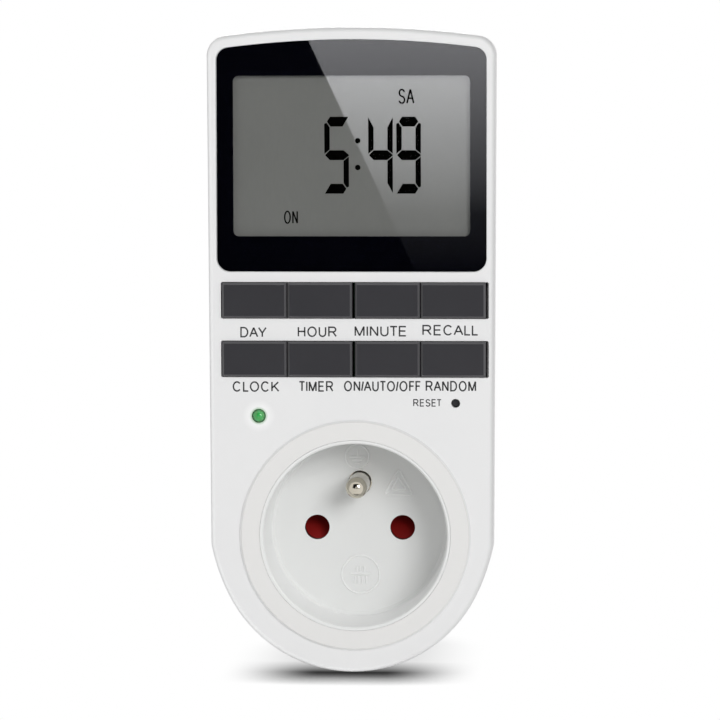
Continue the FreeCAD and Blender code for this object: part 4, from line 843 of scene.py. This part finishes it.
def addStatusLamp(shape):
    x, z = lampPlace
    flange, base, flangeTop, tip = shape["flange"], shape["base"], shape["flangeTop"], shape["tip"]
    profile = [(0, base), (flange, base), (flange, flangeTop), (lampRadius, flangeTop)]
    profile += domeEnd(lampRadius, tip - shape["dome"], tip, shape["domeSteps"])
    mesh = bmesh.new()
    lathe(mesh, profile, x, z, shape["steps"])
    dome = newPiece("statusLamp", mesh, shape["smoothBelow"])
    dress(dome, "led_green")
    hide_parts("status_led")
    half = shape["leadSide"] / 2
    square = ((-half, -half), (half, -half), (half, half), (-half, half))
    leads = []
    for side in (-1, 1):
        middle = x + side * shape["leadPitch"] / 2
        leads.append([(middle + across, z + up) for across, up in square])
    dress(plate("statusLampLeads", leads, shape["leadEnd"], base), "nickel")


addStatusLamp(lamp)

screws = {
    "places": ((24.7, 60.0), (-26.1, 60.0), (17.112, -17.112), (-17.112, -17.112)),
    "head": 2.7, "headBack": 23.7, "rim": 24.7, "seat": 25.6, "tip": 37.1,
    "steps": 40, "domeSteps": 10, "smoothBelow": 35,
    # the thread's groove starts and ends at these shares of each turn
    "shank": 1.25, "root": 0.95, "point": 0.38, "pitch": 0.9, "grooveStart": 0.35, "grooveEnd": 0.75,
    "crossLong": 1.55, "crossWide": 0.36, "crossDeep": 1.1, "crossBeyond": 0.5,
}


def crossOutline(arm, bar):
    # the upper and left arms of a cross, then the same two turned by half a turn
    half = [(bar, bar), (bar, arm), (-bar, arm), (-bar, bar), (-arm, bar), (-arm, -bar)]
    return half + [(-x, -z) for x, z in half]


def addCaseScrews(shape):
    # domed heads with a cross recess, and a thread in rings along each shank
    shank, root, pitch, seat = shape["shank"], shape["root"], shape["pitch"], shape["seat"]
    thread = [(shank, seat)]
    for turn in range(int((shape["tip"] - seat) / pitch)):
        start = seat + turn * pitch
        thread += [(root, start + pitch * shape["grooveStart"]), (root, start + pitch * shape["grooveEnd"])]
        thread.append((shank, start + pitch))
    profile = [(0, shape["tip"]), (shape["point"], shape["tip"])] + thread[::-1] + [(shape["head"], seat)]
    profile += domeEnd(shape["head"], shape["rim"], shape["headBack"], shape["domeSteps"])
    mesh = bmesh.new()
    for x, z in shape["places"]:
        lathe(mesh, profile, x, z, shape["steps"])
    heads = newPiece("caseScrews", mesh, shape["smoothBelow"])
    outline = crossOutline(shape["crossLong"], shape["crossWide"])
    crosses = [[(x + across, z + up) for across, up in outline] for x, z in shape["places"]]
    behind, floor = shape["headBack"] - shape["crossBeyond"], shape["headBack"] + shape["crossDeep"]
    cutter = plate("crossCutter", crosses, behind, floor)
    recess = heads.modifiers.new("crossRecess", "BOOLEAN")
    recess.operation = "DIFFERENCE"
    recess.object = cutter
    bpy.context.view_layer.update()
    cut = bpy.data.meshes.new_from_object(heads.evaluated_get(bpy.context.evaluated_depsgraph_get()))
    heads.modifiers.clear()
    heads.data = cut
    bpy.data.objects.remove(cutter)
    dress(heads, "screw_steel")
    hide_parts("case_screws")
    print("case screws cut:", len(cut.polygons), "faces")


addCaseScrews(screws)
print("pins, lamp and screws turned")

spring = {"half": 2.6, "thick": 0.3, "folds": 7, "drop": 6.4, "turnSteps": 8, "smoothBelow": 40}


def addShutterSpring(shape):
    # one strip of spring steel folded to and fro, like the real spring, which shortens as the shutter comes
    # down
    low, high = (Vector(corner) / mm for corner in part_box("shutter_spring"))
    half, thick, folds = shape["half"], shape["thick"], shape["folds"]
    pitch = (high.z - low.z - thick) / folds
    start = low.z + thick / 2
    bendAt = half - thick / 2 - pitch / 2
    points = [(half, start)]
    for fold in range(folds):
        side = 1 if fold % 2 else -1
        middle = start + pitch * (fold + 0.5)
        points += bend(side * bendAt, middle, side * pitch / 2, pitch / 2, -90, 90, shape["turnSteps"])
    points.append((half, start + pitch * folds))
    section = ((-1, -high.y), (-1, -low.y), (1, -low.y), (1, -high.y))
    strip = ridges("foldedSpring", [(points, False)], 0, thick / 2, section, shape["smoothBelow"])
    dress(strip, "spring_steel")
    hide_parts("shutter_spring")
    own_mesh(strip)


addShutterSpring(spring)

view = {
    "place": (0.0621121, -0.9801856, 0.1051723),
    "pitch": 0.0717166, "yaw": 0.0656463, "roll": -0.0021053,
    "focal": 4279.2, "frame": 720, "sensor": 36.0, "near": 0.05, "far": 30,
}


def addCamera(shot):
    # the photograph's own angle; pitch looks down and yaw looks to the left, in radians
    pitched = Matrix.Rotation(shot["roll"], 3, "Z") @ Matrix.Rotation(shot["pitch"], 3, "X")
    turn = pitched @ Matrix.Rotation(shot["yaw"], 3, "Y")
    swap = Matrix(((1, 0, 0), (0, 0, -1), (0, 1, 0)))
    toCamera = Matrix(((1, 0, 0), (0, -1, 0), (0, 0, -1))) @ turn @ swap
    data = bpy.data.cameras.new("productCamera")
    data.sensor_width = shot["sensor"]
    data.lens = shot["focal"] * shot["sensor"] / shot["frame"]
    data.clip_start = shot["near"]
    data.clip_end = shot["far"]
    camera = bpy.data.objects.new("productCamera", data)
    camera.matrix_world = Matrix.Translation(shot["place"]) @ toCamera.transposed().to_4x4()
    scene.collection.objects.link(camera)
    scene.camera = camera


addCamera(view)

studio = {
    "sideFill": 0.35, "frontFill": 0.52, "backTone": 1.0,
    # the floor's level is in millimetres, its half width and the lamps' places are in metres
    "floorLevel": -30.13, "floorHalf": 4.0, "paper": 60, "paperTones": ((0.92,) * 3, (0.93,) * 3),
    # the contact shadow lies along the front edge, in millimetres
    "shadowReach": 20, "shadowSamples": 16, "shadowPower": 6.4, "shadowMiddle": -0.9,
    "shadowFull": 7, "shadowEnd": 29, "shadowDepth": (-53, -36), "shadowShare": (0.98, 0.28),
    "key": {"place": (1.0, -2.1, 0.75), "aim": (0, -0.04, 0.03), "size": 1.0, "power": 26},
    "back": {"place": (-0.3, 1.9, 0.9), "aim": (0, 0, 0.03), "size": 1.0, "power": 22},
}


def seenShare(finish):
    # 1 where a camera, mirror or clear ray looks, 0 for the light that falls on things
    path = finish.node("LightPath").socket.node
    rays = ("Is Camera Ray", "Is Glossy Ray", "Is Transmission Ray")
    camera, glossy, clear = [Wire(finish, path.outputs[name]) for name in rays]
    return finish.larger(finish.larger(camera, glossy), clear)


def addWorld(shape):
    # most of the soft light comes from in front
    world = bpy.data.worlds.new("studioWorld")
    scene.world = world
    finish = Finish(world, "OutputWorld")
    y = finish.parts(finish.node("TexCoord", output="Generated"))[1]
    ahead = finish.larger(0 - y, 0.0)
    fill = ahead * ahead * shape["frontFill"] + shape["sideFill"]
    tone = finish.mixed(seenShare(finish), fill, (shape["backTone"],) * 3)
    finish.show(finish.node("Background", None, {"Color": tone, "Strength": 1.0}))


def flatCard(name, corners):
    # a single face, its corners in metres
    mesh = bmesh.new()
    mesh.faces.new([mesh.verts.new(corner) for corner in corners])
    data = bpy.data.meshes.new(name)
    mesh.to_mesh(data)
    mesh.free()
    card = bpy.data.objects.new(name, data)
    scene.collection.objects.link(card)
    return card


def addFloor(shape):
    half, level = shape["floorHalf"], shape["floorLevel"] * mm
    corners = ((-half, -half), (half, -half), (half, half), (-half, half))
    floor = flatCard("studioFloor", [(x, y, level) for x, y in corners])
    finish = newFinish("floorPaper")
    where = finish.place()
    paper = finish.mixed(finish.noise(where, shape["paper"]), *shape["paperTones"])
    lit = finish.node("BsdfDiffuse", None, {"Color": paper})
    # white where it is looked at, with a soft shadow under the front edge
    x, y = finish.millimetres(where)[:2]
    settings = {"samples": shape["shadowSamples"]}
    reach = {"Distance": shape["shadowReach"] * mm}
    free = finish.node("AmbientOcclusion", settings, reach, output="AO")
    across = finish.size(x - shape["shadowMiddle"])
    aside = finish.limits(across, shape["shadowFull"], shape["shadowEnd"], 1, 0, "SMOOTHSTEP")
    behind = finish.limits(y, *shape["shadowDepth"], *shape["shadowShare"])
    shadow = (1 - free ** shape["shadowPower"]) * aside * behind
    seen = finish.mixed(shadow, (1.0, 1.0, 1.0), (0.0, 0.0, 0.0))
    glow = finish.node("Emission", None, {"Color": seen, "Strength": 1.0})
    shown = finish.node("MixShader", None, {0: seenShare(finish), 1: lit, 2: glow})
    floor.data.materials.append(finish.show(shown))


def addLamp(name, shape):
    light = bpy.data.lights.new(name, "AREA")
    light.shape = "DISK"
    light.size = shape["size"]
    light.energy = shape["power"]
    holder = bpy.data.objects.new(name, light)
    holder.location = shape["place"]
    beam = Vector(shape["aim"]) - Vector(shape["place"])
    holder.rotation_euler = beam.to_track_quat("-Z", "Y").to_euler()
    scene.collection.objects.link(holder)


addWorld(studio)
addFloor(studio)
addLamp("keyLamp", studio["key"])
addLamp("backLamp", studio["back"])

reflection = {
    # a low screen hides the floor from the window, and a wall far behind it is the dark room;
    # away is how far a card stands ahead of the plug's face, in metres
    "screen": {"away": 0.673, "half": 0.34, "high": 0.14, "low": -0.028},
    "wall": {"away": 2.8, "half": 2.0, "high": 2.7, "low": -0.028},
    # the soft box's slanting edge as (x, z), and how far it goes on at both ends
    "away": 0.653, "edgeTop": (-0.0566, 0.1093), "edgeLow": (-0.0188, 0.0278), "beyond": 0.012,
    "right": 0.05, "strength": 4.0,
    "stops": (
        (0.0, (0, 0, 0)), (0.1, (0.004, 0.004, 0.005)), (0.3, (0.042, 0.042, 0.046)),
        (0.6, (0.39, 0.385, 0.41)), (0.85, (0.735, 0.725, 0.77)), (1.0, (0.93, 0.92, 0.975)),
    ),
}


def addCard(name, corners, shape=None):
    # a studio card that only mirrors see: black, or lit in stops from its low end to its high one
    card = flatCard(name, corners)
    finish = newFinish(name + "Finish")
    colour, strength = (0.0, 0.0, 0.0), 1.0
    if shape:
        up = finish.parts(finish.place())[2]
        low, high = corners[0][2], corners[-1][2]
        climb = finish.limits(up, low, high, 0, 1)
        colour = finish.node("ValToRGB", {"stops": shape["stops"]}, {"Fac": climb})
        strength = shape["strength"]
    glow = finish.node("Emission", None, {"Color": colour, "Strength": strength})
    card.data.materials.append(finish.show(glow))
    card.visible_camera = False
    card.visible_diffuse = False
    card.visible_shadow = False
    card.visible_transmission = False


def addReflections(shape):
    # a dark room ahead of the window, with a soft box whose slanting edge it mirrors
    ahead = -shape["away"]
    (topX, topZ), (lowX, lowZ) = shape["edgeTop"], shape["edgeLow"]
    slope = (topX - lowX) / (topZ - lowZ)
    high, low, right = topZ + shape["beyond"], lowZ - shape["beyond"], shape["right"]
    corners = [(lowX + slope * (low - lowZ), ahead, low), (right, ahead, low)]
    corners += [(right, ahead, high), (lowX + slope * (high - lowZ), ahead, high)]
    addCard("softBox", corners, shape)
    for name in ("screen", "wall"):
        card = shape[name]
        half, high, low, y = card["half"], card["high"], card["low"], -card["away"]
        addCard(name + "Card", [(-half, y, low), (half, y, low), (half, y, high), (-half, y, high)])


addReflections(reflection)
scene.view_settings.view_transform = "Standard"
print("studio set")
